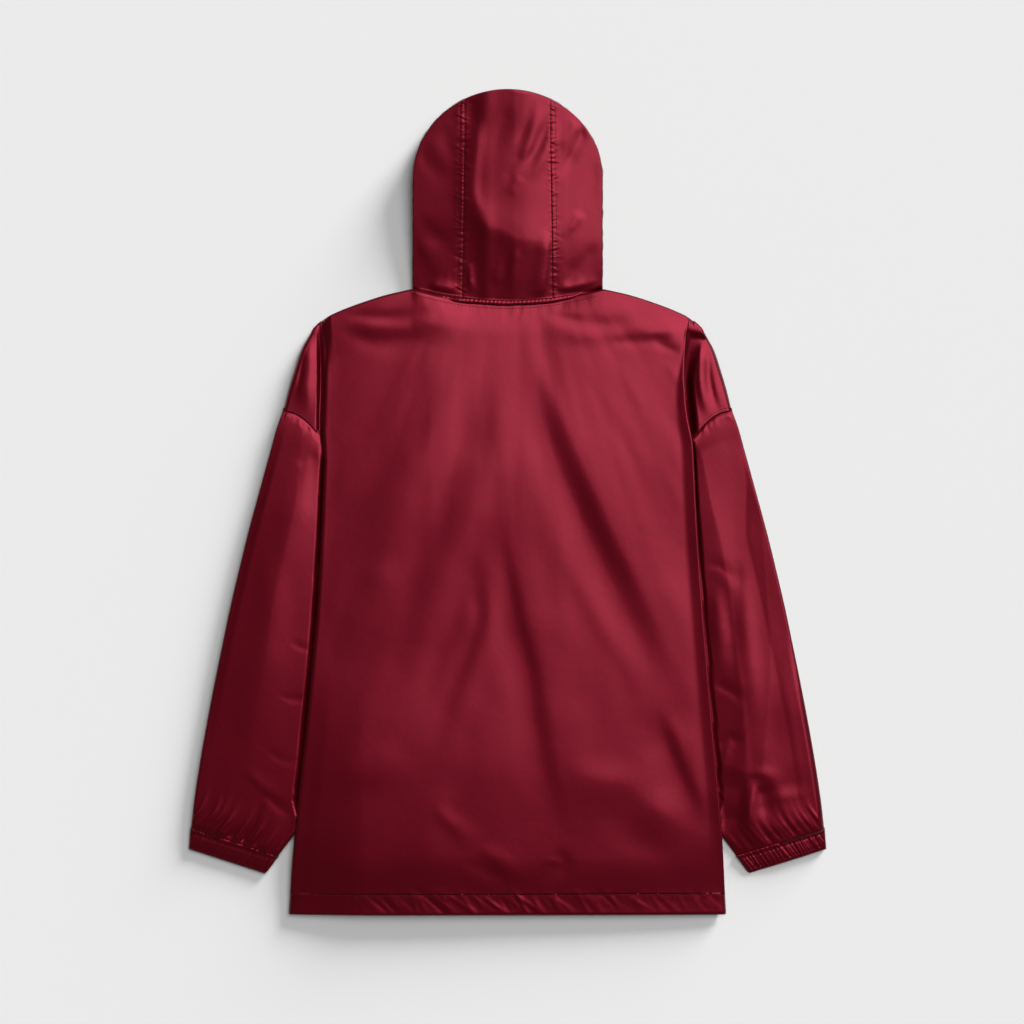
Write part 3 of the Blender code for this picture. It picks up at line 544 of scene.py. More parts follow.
def neck_column(x, column):
    return np.interp(np.abs(x), [row[0] for row in NECK_BACK], [row[column] for row in NECK_BACK])


def neck_y(x):
    return neck_column(x, 1)


def neck_level(x):
    return neck_column(x, 2)


def front_neck_y(x):
    return NECK_END_Y - NECK_DROP * np.cos(np.pi / 2 * np.minimum(x / NECK_X, 1))


def over_sleeve(y):
    return ease((74 - y) / 13) * ease((y + 440) / 40)


def side_level(y):
    return mix(HEM_SEAM, SIDE_SEAM, ease((y + 500) / 90))


def row_y(top, drop):
    return top - drop * (top - HEM_Y) / BODY_DROP


def top_y(x):
    return np.where(x < NECK_X, neck_y(x), shoulder_y(np.maximum(x, NECK_X)))


def body_level(x, y, drop):
    """Height of the back at a distance DROP below its top edge, without its creases."""
    half = half_width(y)
    share = np.minimum(np.abs(x) / half, 1.0)
    edge = side_level(y) + ROLL * mix(0.3, 1.0, ease((y - HEM_Y) / 110))
    crown = mix(HEM_CROWN, CROWN, ease((y - HEM_Y) / HEM_SETTLE))
    level = edge + (crown - edge) * (1 - share ** 4)
    level = level + SHOULDER_STAND * (1 - ease(drop / SHOULDER_REACH)) * ease((np.abs(x) - 30) / 90)
    rise = mix(ease(drop / 24), quarter_round(drop / 2.6), ease((np.abs(x) - 60) / 50))
    return mix(np.where(np.abs(x) < NECK_X, neck_level(x), EDGE), level, rise)


def shoulder_point(share):
    """A point of the dropped shoulder's outer edge, from its start to the armhole."""
    xs = np.array([row[0] for row in SHOULDER if row[0] >= APEX])
    ys = np.array([row[1] for row in SHOULDER if row[0] >= APEX])
    lengths = lengths_along(xs, ys)
    here = share * lengths[-1]
    return curve(np.c_[lengths, xs], here), curve(np.c_[lengths, ys], here)


def cap_ends(drop, side=0):
    """The inner and the outer end of a row of the dropped shoulder, and the row's width."""
    y = row_y(shoulder_y(TOP_HALF + PLEAT[-1][2]), drop)
    x = half_width(y) + PLEAT_END - 0.6 * drawn_in(y, side)
    outer_x, outer_y = shoulder_point(np.minimum(drop / UNDERARM_DROP, 1))
    return (x, y), (outer_x, outer_y), np.hypot(outer_x - x, outer_y - y)


def cap_place(drop, share, side=0):
    inner, outer, _ = cap_ends(drop, side)
    x, y = mix(inner[0], outer[0], share), mix(inner[1], outer[1], share)
    bow = ARMHOLE_BOW * drop / UNDERARM_DROP
    return x, mix(shoulder_y(x), y + bow * 4 * share * (1 - share), ease(drop / 12))


def pleat_formed(y, side):
    """How far the fold at the side of the back has opened. It starts lower on the right."""
    return ease((PLEAT_TOP - (PLEAT_LATE if side > 0 else 0.0) - y) / PLEAT_FORM)


def valley_width(y, side):
    """How far the low ground beside the body reaches out under the dropped shoulder."""
    return look_down(VALLEY_RIGHT if side > 0 else VALLEY_LEFT, y)


def drawn_in(y, side):
    """How far the side of the back lies inside its even line."""
    return look_down(DRAWN_IN_RIGHT if side > 0 else DRAWN_IN_LEFT, y) * (side != 0)


def cap_level(drop, share, side):
    inner, _, width = cap_ends(drop, side)
    apart, low = share * width, valley_width(inner[1], side)
    valley = np.where(side > 0, VALLEY, mix(VALLEY_FOOT, VALLEY, ease(apart / 4)))
    valley = mix(CAP_RIDGE, valley, pleat_formed(inner[1], side))
    rise = np.clip(apart / (low + 3), 0, 1) if side > 0 else ease((apart - low + 1) / 4.5)
    level = mix(valley, CAP_RIDGE, rise) + np.where(side > 0, 3.6 * ease((inner[1] - 202) / 11), 0.0)
    top = np.where(drop < UNDERARM_DROP - 12, drop, FAR)
    inside = np.minimum(top, (1 - share) * width)
    return mix(EDGE, level, quarter_round(inside / CAP_ROUND))


def pleat_place(drop, place, below, side):
    """The fold at the side of the body, at a place in PLEAT. Below the underarm it ends at the seam."""
    unfolded, folded = curve(PLEAT, place, 2), curve(PLEAT, place, 1)
    tuck, fall = np.where(place > PLEAT_SEAM, curve(PLEAT, place, 3), 0.0), curve(PLEAT, place, 4)
    y = row_y(shoulder_y(TOP_HALF + unfolded), drop)
    formed = np.where(below, 1.0, pleat_formed(y, side))
    depth = PLEAT_START + PLEAT_SLOPE * (PLEAT_TOP - y)
    half, drawn = half_width(y), drawn_in(y, side)
    x = half + mix(unfolded, folded - tuck * depth, formed) - drawn * mix(0.6, 1.0, ease((7 - place) / 4))
    start = body_level(half + PLEAT[0][1] - drawn, y, drop)
    even = (unfolded - PLEAT[0][2]) / (PLEAT[-1][2] - PLEAT[0][2])
    roll, seam_fall = ROLL_RIGHT if side > 0 else ROLL_LEFT, PLEAT[PLEAT_SEAM][4]
    round_off = 1 - quarter_round(1 - np.clip((folded + roll) / roll, 0, 1))
    fall = np.where(place <= 2, mix(PLEAT[0][4], 0.8 * seam_fall, round_off), fall)
    above_level = mix(start, cap_level(drop, 0.0, side), mix(even, fall, formed))
    return x, y, np.where(below, mix(start, side_level(y), fall / seam_fall), above_level)


def body_rows():
    """Distances below the top edge, close together at the shoulders and the hem."""
    fine = [0, 0.15, 0.6, 1.3, 2.4, 3.8, 5.5, 7.5, 10]
    to_underarm = np.linspace(13, UNDERARM_DROP, 48)
    to_band = np.linspace(UNDERARM_DROP, BODY_DROP - 36, 166)[1:]
    band = np.linspace(BODY_DROP - 36, BODY_DROP, 19)[1:]
    return np.concatenate([fine, to_underarm, to_band, band])


def back_half(side):
    """One half of the back, as if on the right: its points, which of them hold cloth, and its columns."""
    drop = body_rows()[:, None]
    below = drop > BELOW_UNDERARM
    share = np.linspace(0, BODY_EDGE, 72)[None, :]
    y = row_y(top_y(share * TOP_HALF), drop)
    x = share * (half_width(y) - drawn_in(y, side))
    body = xyz(x, y, body_level(x, y, drop))
    place = np.concatenate([np.linspace(0, 3, 10), np.linspace(3, 7, 15)[1:]])[None, :]
    drops = np.broadcast_to(drop, (len(drop), place.shape[1]))
    pleat = xyz(*pleat_place(drops, np.broadcast_to(place, drops.shape), below, side))
    share = closing_up(33, 1.15)[1:]
    drops = np.broadcast_to(drop, (len(drop), len(share)))
    shares = np.broadcast_to(share[None, :], drops.shape)
    x, y = cap_place(drops, shares, side)
    cap = xyz(x, y, cap_level(drops, shares, side))
    points = np.concatenate([body, pleat, cap], axis=1)
    keep = np.ones(points.shape[:2], bool)
    keep[below[:, 0], body.shape[1] + 10:] = False
    return points, keep, body.shape[1], pleat.shape[1]


def back_grid():
    """The whole back, from the left armhole to the right one."""
    right, keep, body_count, pleat_count = back_half(1)
    left = back_half(-1)[0][:, :0:-1] * [-1, 1, 1]
    points = np.concatenate([left, right], axis=1)
    return points, np.concatenate([keep[:, :0:-1], keep], axis=1), body_count, pleat_count


def drift(x, y):
    """Faint streaks that fan out from the neck, and the cloth's slight unevenness."""
    angle = np.degrees(np.arctan2(x, FAN_Y - y))
    reach = np.hypot(x, FAN_Y - y)
    fan = ripple(angle * 10, reach * 0.4, 42, 3) * 0.3 + ripple(angle * 10, reach * 0.3, 19, 4) * 0.1
    return fan * ease((reach - 120) / 200) + 0.1 * ripple(x, y, 34, 5)


def droop(x, y):
    """What a broad low ridge on the left of the back adds to its height, below zero."""
    reach = np.where(x < -178, 60.0, 260.0)
    return DROOP * np.exp(-np.abs((x + 178) / reach) ** 1.6) * ease((-y - 170) / 180)


def hem_ripples(x, y):
    """Slanting ripples of the turned hem, strongest left of the middle, and the dip at its stitches."""
    turn = puckers(x + 275, y + 500, 550, 11, 15, 0.75, 3.3, 31, 0.5, 0.9)
    strong = ease((x + 215) / 90) * mix(0.45, 1.0, ease((150 - x) / 60))
    fine = puckers(x + 275, y - HEM_STITCH_Y, 550, 5, 5, 0.26, 1.6, 32, 0.7)
    dip = STITCH_DIP * np.exp(-((y - HEM_STITCH_Y) / 1.8) ** 2)
    return turn * strong * ease((-468 - y) / 24) + fine + dip


def neck_gathers(x, drop):
    return puckers(x + 112, drop - 7, 224, 6.5, 12, 0.3, 1.9, 33, 0.3) * ease((108 - np.abs(x)) / 12)


def neck_stand(x, drop):
    """How the back stands up along the neck seam, under the left corner of the hood."""
    return NECK_STAND * np.exp(-(drop / 14) ** 2) * ease((-x - 42) / 30) * ease((x + 119) / 7)


def fall_left(x, y, drop):
    """The upper back falls away to its left, and its left shoulder stands a little higher."""
    ramp = LEFT_RISE * np.clip((x + 226) / 130, 0, 1) * ease((230 - x) / 330) * ease((y + 130) / 170)
    stand = SHOULDER_LIFT * (1 - ease(drop / SHOULDER_REACH)) * ease((-x - 30) / 70)
    return ramp * ease(drop / 40) + stand * ease((x + TOP_HALF) / 80) * ease(drop / 4)


def rise_right(x, y, drop):
    """The upper back climbs to its right edge."""
    return RIGHT_RISE * np.clip((x - 40) / 170, 0, 1) * ease((y + 100) / 190) * ease(drop / 40)


def turned_up(x, y):
    """The strip along the right side of the back, which turns up to its edge."""
    inside = half_width(y) - drawn_in(y, 1) - x
    wide = mix(7.0, 14.0, ease((190 - y) / 130))
    return STRIP_RISE * np.clip(1 - inside / wide, 0, 1) * ease((222 - y) / 40) * ease((y + 455) / 90)


def crease_back(x, y, z, drop, on_body, to_edge, on_cap):
    """Lays the creases over the back and its dropped shoulders."""
    free = on_body * ease(drop / FREE_AFTER) * ease((y - HEM_Y) / FREE_AFTER)
    z = z + (fold_field(x, y, BODY_FOLDS) + drift(x, y)) * free
    z = z + (hem_ripples(x, y) - droop(x, y)) * on_body * ease((y - HEM_Y + 2) / 3)
    z = z + neck_gathers(x, drop) * on_body * ease(drop / 8) + neck_stand(x, drop) * on_body
    z = z + fall_left(x, y, drop) * on_body + (turned_up(x, y) + rise_right(x, y, drop)) * to_edge
    z = z + fold_field(x, y, CAP_FOLDS) * on_cap * ease(drop / 16)
    return xyz(x, y, z)


def back_cloth():
    """The grid of the back with its creases, and which of its points hold cloth."""
    points, keep, body_count, pleat_count = back_grid()
    half_count = points.shape[1] // 2
    column = np.abs(np.arange(points.shape[1]) - half_count)[None, :]
    on_body = ease((body_count + 4 - column) / 10)
    on_cap = ease((column - body_count - pleat_count + 6) / 6)
    to_edge = ease((body_count + 9 - column) / 3) * (np.arange(points.shape[1]) > half_count)
    rows = body_rows()[:, None]
    points = crease_back(*np.moveaxis(points, -1, 0), rows, on_body, to_edge, on_cap)
    points[..., 2] += STITCH_DIP * ease((rows - BODY_DROP + HEM_TURN + 1) / 2)
    return points, keep & (rows < BODY_DROP - HEM_TURN + 1)


def hem_cloth():
    """The turned hem, in a finer grid that starts under the edge of the back's."""
    share = np.linspace(-1, 1, 260)[None, :]
    y = np.linspace(HEM_Y + HEM_TURN + 2, HEM_Y, 22)[:, None]
    half = half_width(y)
    roll = np.where(share < 0, ROLL_LEFT, ROLL_RIGHT)
    inside = (1 - np.abs(share)) * half
    x = share * half
    top = body_level(np.abs(x), y, LOW_DOWN)
    level = mix(side_level(y), top, quarter_round(inside / roll))
    on_body = ease((inside - 1) / 10)
    points = crease_back(x, y, level, LOW_DOWN, on_body, ease(inside / 0.5), 0)
    points[:3, :, 2] -= np.array([0.14, 0.07, 0.0])[:, None]
    points[-3:, :, 2] -= np.array([0.1, 0.4, 1.0])[:, None]
    return points


# Fronts


def zip_level(y):
    return mix(ZIP_LOW, ZIP_HIGH, ease((y - ZIP_LIFT[0]) / (ZIP_LIFT[1] - ZIP_LIFT[0])))


def front_level(x, y):
    over_zip = zip_level(y) + TAPE_THICKNESS / 2 + 1.0
    level = mix(over_zip, FLOOR_MID, ease((x - TAPE_OUT - 2) / 30))
    return level + (OVER_SLEEVE - FLOOR_MID) * ease((x - half_width(y) + 46) / 25) * over_sleeve(y)


def front_edge(on_shoulder, x, y, drop):
    level = front_level(x, y)
    rounded = mix(EDGE - SEAM_DROP, level, quarter_round(drop / 4))
    return mix(level, rounded, ease((on_shoulder - 108) / 14))


def front_grid(side):
    """A front, as if on the right, from the zip to the side seam and the dropped shoulder's edge."""
    drop = np.concatenate([[0, 0.4, 1.2, 2.4, 4], np.linspace(8, UNDERARM_DROP, 22),
                           np.linspace(UNDERARM_DROP, BODY_DROP, 78)[1:]])[:, None]
    below = drop > BELOW_UNDERARM
    tops = [np.linspace(NECK_FRONT_X, NECK_X, 20), np.linspace(NECK_X, 199.2, 14)[1:]]
    tops = np.concatenate(tops)[None, :]
    neck, shoulder = front_neck_y(np.minimum(tops, NECK_X)), shoulder_y(np.maximum(tops, NECK_X))
    y = row_y(np.where(tops < NECK_X, neck, shoulder), drop)
    x = mix(tops, tops * half_width(y) / TOP_HALF, ease((tops - 17) / 60))
    tops = np.broadcast_to(tops, x.shape)
    body = xyz(x, y, front_edge(tops, x, y, drop))
    reach = np.array([-24.0, -18, -13, -8])[None, :]
    y = row_y(shoulder_y(TOP_HALF + reach), drop)
    x = half_width(y) + reach
    foot = xyz(x, y, front_edge(TOP_HALF, x, y, drop))
    # The side seam lies just inside and under the back's.
    seam = xyz(*pleat_place(drop, np.full(drop.shape, PLEAT_SEAM), below, side))
    seam[..., 0] -= np.where(below, 0.45, 0.0)
    above = front_edge(TOP_HALF, seam[..., 0], seam[..., 1], drop)
    seam[..., 2] = np.where(below, seam[..., 2] - 0.4, above)
    drops, shares = np.broadcast_arrays(drop, np.linspace(0, 1, 12)[None, :])
    x, y = cap_place(drops, shares)
    width = cap_ends(drops)[2]
    inside = np.minimum(np.where(drops < UNDERARM_DROP - 4, drops, FAR), (1 - shares) * width)
    cap = xyz(x, y, mix(EDGE - SEAM_DROP, FLOOR_MID, quarter_round(inside / 4)))
    points = np.concatenate([body, foot, seam, cap], axis=1)
    keep = np.ones(points.shape[:2], bool)
    keep[below[:, 0], body.shape[1] + foot.shape[1] + 1:] = False
    return points, keep


# Sleeves and cuffs


def tube(table, along, across, under, wall, bow, apart, crown_share, side):
    """Rings of a flattened tube: over the top from its inner to its outer edge, and back along the floor.
    Also gives each point's distance across, and which points of a ring lie on top."""
    columns = (curve(table, along, column)[:, None] for column in range(1, 6))
    outer_x, outer_y, inner_x, inner_y, crown = columns
    span_x, span_y = outer_x - inner_x, outer_y - inner_y
    width = np.hypot(span_x, span_y)
    bow, apart = bow[:, None], apart[:, None]
    floor = wall / 2

    def flat(share):
        return inner_x + span_x * share, inner_y + span_y * share + bow * 4 * share * (1 - share)

    def moved(x, y, out):
        return x + span_x / width * out, y + span_y / width * out

    top, low = across[None, :], under[None, ::-1]
    x, y = flat(top)
    clear = x - half_width(y) + drawn_in(y, side) - mix(PLEAT_END, 4, ease((20 - y) / 120))
    clear = mix(clear, top * width + 4, ease((-370 - y) / 40))
    level = mix(TUCKED, crown * crown_share[:, None], ease((clear + 1.5) / 3))
    level = mix(EDGE, level, quarter_round((1 - top) * width / SLEEVE_ROUND))
    inner_half, outer_half = (level[:, :1] - floor) / 2, (EDGE - floor) / 2
    inner_out = INNER_REACH * inner_half
    turn = np.linspace(0, np.pi, 8)[None, 1:-1]
    outer_turn = moved(outer_x, outer_y, 0.4 * outer_half * np.sin(turn))
    inner_turn = moved(inner_x, inner_y, -inner_half * (INNER_REACH + 0.25 * np.sin(turn)))
    sections = [
        (*moved(x, y, -inner_out * (1 - top) ** 14), level, top),
        (*outer_turn, floor + outer_half * (1 + np.cos(turn)), 1),
        (*moved(*flat(low), -inner_out * (1 - low) ** 14), floor, low),
        (*inner_turn, floor + inner_half * (1 - np.cos(turn)), 0),
    ]
    even = [np.broadcast_arrays(*section) for section in sections]
    x, y, z, share = (np.concatenate(parts, axis=1) for parts in zip(*even))
    points = xyz(x + span_y / width * apart, y - span_x / width * apart, z)
    return points, share * width, np.arange(x.shape[1]) < len(across)


# True places, so a left sleeve's are negative.
SLEEVE_FOLDS = [
    # left: the long ridge, dark outside it
    Fold(3.4, 46, 36, [(-252, 130), (-256, 80), (-259, 40), (-264, -4), (-274, -50), (-286, -100),
         (-295, -150),
                       (-302, -200), (-312, -250), (-321, -300), (-325, -350), (-327, -392)], 1.5),
    Fold(-0.3, 4, 6, [(-284, -240), (-270, -246), (-258, -246), (-248, -240)]),
    Fold(-0.25, 4, 5, [(-270, -172), (-260, -180), (-250, -183), (-241, -180)]),
    Fold(-0.25, 4, 6, [(-300, -308), (-284, -320), (-268, -324), (-256, -318)]),
    Fold(-0.4, 5, 8, [(-304, -362), (-288, -378), (-274, -388), (-264, -392)]),
    Fold(0.3, 6, 9, [(-330, -330), (-306, -352), (-284, -366), (-266, -372)]),
    Fold(0.3, 8, 8, [(-246, 66), (-250, 30), (-254, -10), (-262, -50)]),
    Fold(-0.25, 5, 7, [(-262, 44), (-250, 52), (-240, 54), (-232, 50)]),
    # right, beside the strip that rises to the outer edge
    Fold(-0.7, 10, 9, [(286, -64), (288, -100), (287, -140), (284, -180)]),
    Fold(1.2, 16, 12, [(286, -60), (290, -100), (296, -150), (300, -200), (306, -250), (316, -290)]),
    Fold(-1.0, 12, 12, [(270, -96), (276, -140), (284, -190), (290, -236)]),
    Fold(1.0, 10, 12, [(260, -100), (264, -150), (268, -196), (270, -226)]),
    Fold(-0.35, 5, 8, [(246, -86), (256, -80), (266, -82), (278, -94), (284, -110)]),
    Fold(-0.5, 5, 9, [(254, -226), (268, -232), (282, -240), (298, -256)]),
    Fold(-0.7, 5, 8, [(260, -312), (270, -300), (280, -296), (292, -306)]),
    Fold(0.5, 5, 6, [(276, -300), (272, -318), (267, -336), (262, -352)]),
    # right, low: the dark hollow with a bright wedge in it
    Fold(-1.7, 60, 12, [(298, -336), (288, -362), (284, -394), (288, -426)]),
    Fold(1.2, 8, 8, [(310, -344), (305, -364), (301, -388), (300, -414)], 1.6),
    Fold(0.6, 6, 8, [(298, -334), (308, -338), (320, -339), (330, -346), (336, -362)]),
    Fold(-1.6, 9, 15, [(313, -346), (317, -364), (321, -386), (325, -412)]),
    Fold(0.9, 30, 16, [(346, -190), (350, -240), (354, -290), (357, -330), (360, -370), (362, -406)]),
    Fold(1.1, 18, 40, [(340, -350), (343, -370), (346, -390), (349, -418)]),
]


def sleeve_rings(side):
    along = np.concatenate([np.linspace(index, index + 1, count, endpoint=False)
                            for index, count in enumerate(SLEEVE_STEPS)] + [[SLEEVE_END]])
    across = closing_up(66, 1.15)
    under = np.linspace(0, 1, 26)
    bow = ARMHOLE_BOW * (1 - ease(along / 4))
    apart = 1.1 * (1 - ease(along / 1.5))
    crown_share = mix(1.0, SLEEVE_CROWN, ease(along / 3)) * mix(1.0, 1.06, ease((along - 10.5) / 1.5))
    return along, tube(SLEEVE, along, across, under, 1.0, bow, apart, crown_share, side)


def follow_inner(z, points, floor):
    """Heights with the inner turn of each ring drawn in between the floor and the lowered top."""
    z[:, -6:] = floor + (z[:, -6:] - floor) * (z[:, :1] - floor) / (points[:, :1, 2] - floor)
    return z


def crease_sleeve(points, along, across, on_top, side):
    """Lays the creases over the top of a sleeve."""
    x, y, z = (points[..., axis].copy() for axis in range(3))
    clear = x - half_width(y) + drawn_in(y, side) - 1
    clear = mix(clear, across, ease((-390 - y) / 30))
    width = across.max(axis=1, keepdims=True)
    outer, place = width - across, along[:, None]
    free = on_top * ease(outer / (26 if side > 0 else 14)) * ease(clear / 5)
    free = free * ease(place / 0.5) * ease((SLEEVE_END - place) / 0.5)
    z = z + (fold_field(side * x, y, SLEEVE_FOLDS) + 0.25 * ripple(side * x, y * 0.4, 24, 8)) * free
    if side > 0:
        # It sinks towards the body, and in a hollow inside the strip that rises to its outer edge.
        clear = np.maximum(clear, 0)
        nearer = mix(1.0, 0.68, ease((-160 - y) / 220))
        lower = 0.09 * np.maximum(look_down(SLEEVE_SLOPE, y) * nearer - clear, 0)
        lower = lower + mix(0.03, 0.062, ease((20 - y) / 200)) * np.maximum(80 * nearer - clear, 0)
        strip = mix(6.0, 27.0, ease((50 - y) / 110))
        hollow = np.where(outer < strip, outer / strip, np.exp(-((outer - strip) / 42) ** 2))
        lower = lower + 2.0 * hollow * ease((60 - y) / 90) * ease((SLEEVE_END - place) / 1.2)
        lower = lower - 0.04 * np.maximum(clear - 45, 0) * ease((-150 - y) / 120) * ease(outer / 8)
        z = z - lower * ease(place / 1.5) * on_top
    to_cuff = np.linalg.norm((points - points[-1:]) * [1, 1, 0], axis=-1)
    rise, wide, seed = (0.9, 1.7, 41) if side > 0 else (3.0, 1.5, 42)
    gathers = puckers(across, to_cuff, 122, 5.2, 28, rise, wide, seed, 0.14)
    at_armhole = puckers(across, to_cuff - to_cuff[:1] + 4, 60, 6, 6, 0.38, 1.9, 43, 0.5)
    drawn_up = gathers * mix(0.25, 1.0, ease(to_cuff / 7)) + at_armhole * ease(place / 0.1)
    z = z + drawn_up * on_top * ease(outer / 5) * ease((across + 2) / 5)
    z = np.where(on_top, np.maximum(z, LOWEST_TOP), z)
    return xyz(x, y, follow_inner(z, points, FLOOR_MID))


def cuff_rings(side):
    along = np.concatenate([np.linspace(0, 1, 5)[:-1], np.linspace(1, 2, 15)[:-1], np.linspace(2, 3, 5)])
    across = closing_up(210, 1.05)
    still = np.zeros_like(along)
    crown_share = mix(0.70, 0.38, along / 3)
    return along, tube(CUFF, along, across, np.linspace(0, 1, 60), 2.0, still, still, crown_share, side)


def lapped(points, on_top):
    """Adds a ring at each end of a sleeve, which lies under the shoulder and in the cuff."""
    first, last = points[0].copy(), points[-1].copy()
    upward = (points[0] - points[1]).mean(axis=0)[:2]
    downward = (points[-1] - points[-2]).mean(axis=0)[:2]
    first[:, :2] += upward / np.linalg.norm(upward) * 6
    last[:, :2] += downward / np.linalg.norm(downward) * 4
    first[on_top, 2] -= 0.9
    last[on_top, 2] -= 0.9
    points[0, on_top, 2] -= 0.7
    return np.concatenate([first[None], points, last[None]])


def crease_cuff(points, along, across, on_top, side):
    """Draws the cuff up over its elastic, in fine ridges that run with the arm."""
    x, y, z = (points[..., axis].copy() for axis in range(3))
    outer, place = across.max(axis=1, keepdims=True) - across, along[:, None]
    rise, seed = (0.42, 51) if side > 0 else (0.7, 52)
    ridges = puckers(across, (place - 1.5) * 18, 116, 2.5, 26, rise, 0.85, seed, 0.16)
    groove = -0.3 * np.exp(-((place - 1.12) / 0.07) ** 2) - 0.25 * np.exp(-((place - 1.9) / 0.07) ** 2)
    sunk = 1.0 * (1 - ease(place / 0.3))
    z = z + (ridges + groove - sunk) * on_top * ease(outer / 4) * ease((across + 1) / 4)
    z = z - 0.085 * np.maximum(45 - across, 0) * on_top * (side > 0)
    return xyz(x, y, follow_inner(z, points, CUFF_MID))


# Hood


HOOD_FOLDS = [
    # faint streaks of the sunk middle
    Fold(0.5, 6, 6, [(13, 318), (9, 300), (5, 280), (1, 262)]),
    Fold(0.4, 5, 6, [(-8, 306), (-13, 284), (-16, 264)]),
    Fold(0.8, 4, 5, [(-47, 300), (-47, 286), (-46, 272), (-45, 256)]),
    Fold(2.0, 11, 5, [(46, 342), (48, 316), (46, 290), (42, 262), (39, 236)]),
    # low corners of the side panels
    Fold(1.9, 4, 12, [(-100, 270), (-88, 264), (-75, 261), (-58, 262)]),
    Fold(1.3, 4, 9, [(60, 264), (82, 264), (98, 269), (114, 277)]),
    # the bright stripe on the left of the middle
    Fold(1.3, 15, 9, [(-30, 500), (-35, 470), (-38, 440), (-41, 410), (-42, 390), (-40, 372), (-33, 352),
                      (-24, 332), (-18, 312)], 1.7),
    Fold(-0.4, 8, 14, [(-18, 496), (-23, 464), (-26, 432), (-29, 402), (-29, 384), (-25, 366), (-16, 346)]
         ),
    Fold(-0.8, 10, 10, [(-52, 508), (-46, 490), (-44, 470), (-48, 448)]),
    # slanting streaks on its right
    Fold(-0.9, 6, 6, [(53, 484), (43, 457), (35, 438), (22, 418), (10, 402)]),
    Fold(0.9, 6, 8, [(62, 476), (53, 450), (46, 430), (36, 412), (26, 396)]),
    Fold(-0.6, 6, 6, [(34, 502), (26, 480), (18, 458), (9, 436), (0, 420)]),
    Fold(0.6, 6, 6, [(42, 496), (36, 474), (29, 452), (21, 430), (12, 414)]),
    Fold(-0.35, 6, 7, [(20, 440), (12, 424), (2, 406), (-8, 390)]),
    Fold(0.3, 6, 8, [(16, 406), (9, 392), (1, 378)]),
    Fold(-0.4, 8, 10, [(2, 500), (-6, 470), (-12, 446), (-15, 420)]),
    # right panel
    Fold(-0.9, 6, 9, [(102, 486), (94, 462), (83, 438), (72, 416), (62, 398)]),
    Fold(0.7, 9, 7, [(90, 496), (83, 470), (73, 448), (62, 430)]),
    Fold(-0.4, 8, 12, [(114, 430), (104, 402), (95, 374), (84, 344)]),
    Fold(0.8, 8, 8, [(94, 362), (80, 342), (66, 324)]),
    Fold(-0.6, 10, 8, [(112, 322), (98, 300), (80, 284), (62, 276)]),
    # left panel
    Fold(-0.3, 10, 12, [(-114, 446), (-99, 421), (-82, 404), (-64, 384)]),
    Fold(0.2, 10, 14, [(-102, 458), (-87, 441), (-76, 426), (-62, 404)]),
    Fold(-0.45, 12, 10, [(-112, 356), (-95, 335), (-80, 322), (-62, 314)]),
    Fold(0.5, 10, 16, [(-112, 330), (-96, 306), (-84, 286), (-76, 266)]),
    Fold(-0.2, 8, 6, [(-70, 470), (-76, 450), (-70, 430), (-62, 416)]),
]


def hood_top_y(x):
    return DOME_Y + DOME_RISE * np.sqrt(1 - (x / HOOD_HALF) ** 2)


def hood_depth(x, y):
    dome = (1 - np.hypot(x / HOOD_HALF, (y - DOME_Y) / DOME_RISE)) * (HOOD_HALF + DOME_RISE) / 2
    return np.where(y < DOME_Y, HOOD_HALF - np.abs(x), dome)


def hood_level(x, y, true_x):
    """Height of the hood's upper layer, without its creases. It climbs towards its top."""
    sides = np.where(true_x > 0, curve(HOOD_SIDE, y, 1), curve(HOOD_SIDE, y, 2))
    sides = sides - HOOD_LEFT_FALL * np.maximum(-true_x - 36, 0)
    sides = sides - HOOD_RIGHT_FALL * np.maximum(true_x - 70, 0)
    middle = curve(HOOD_MIDDLE, y - curve(HOOD_RIDGE, true_x))
    level = mix(sides, middle, ease((70 + true_x) / 50) * ease((78 - true_x) / 60))
    level = mix(EDGE, level, quarter_round(hood_depth(x, y) / HOOD_ROUND))
    above = y - neck_y(x)
    groove = np.where(true_x < 0, 1.5, 0.8) * ease((np.abs(x) - 58) / 14) * ease((117 - np.abs(x)) / 6)
    return mix(neck_level(x) - groove, np.maximum(level, EDGE), ease(above / HOOD_PUFF))


def lean(points):
    """The hood leans towards its neck as it rises."""
    points[..., 1] -= HOOD_LEAN * (points[..., 2] - EDGE) * ease((points[..., 1] - 262) / 240)
    return points


def hood_creases(x, y):
    """Creases of the upper layer and the puckers along its two seams."""
    above, depth = y - neck_y(x), hood_depth(x, y)
    seam = np.abs(x) - mix(HOOD_SEAM_LOW, HOOD_SEAM_HIGH, np.clip(above / 250, 0, 1))
    left = puckers(y - 250, seam - 2, 262, 3.6, 7.0, 0.42, 1.2, 11, 0.6)
    right = puckers(y - 250, seam - 3, 262, 2.6, 4.5, 0.36, 0.95, 12, 0.6)
    groove = -0.16 * np.exp(-((seam - 0.8) / 1.5) ** 2) - 0.14 * np.exp(-((seam - 6.0) / 1.5) ** 2)
    sewn = (np.where(x < 0, left, right) + groove) * ease(above / 6) * ease(depth / 6)
    return fold_field(x, y, HOOD_FOLDS) * (ease(above / 14) * ease(depth / 12)) + sewn


def hood_outline(share, last_x):
    """A point of the hood's edge, from the neck up to where LAST_X is its distance from the middle."""
    upright = DOME_Y - NECK_END_Y
    last_angle = math.acos(last_x / HOOD_HALF)
    dome = last_angle * (HOOD_HALF + DOME_RISE) / 2
    here = share * (upright + dome)
    angle = np.maximum(here - upright, 0) / dome * last_angle
    y = np.where(here < upright, NECK_END_Y + here, DOME_Y + DOME_RISE * np.sin(angle))
    return HOOD_HALF * np.cos(angle), y


def under_level(share):
    return mix(EDGE, FLOOR_MID, quarter_round(share / 0.04))


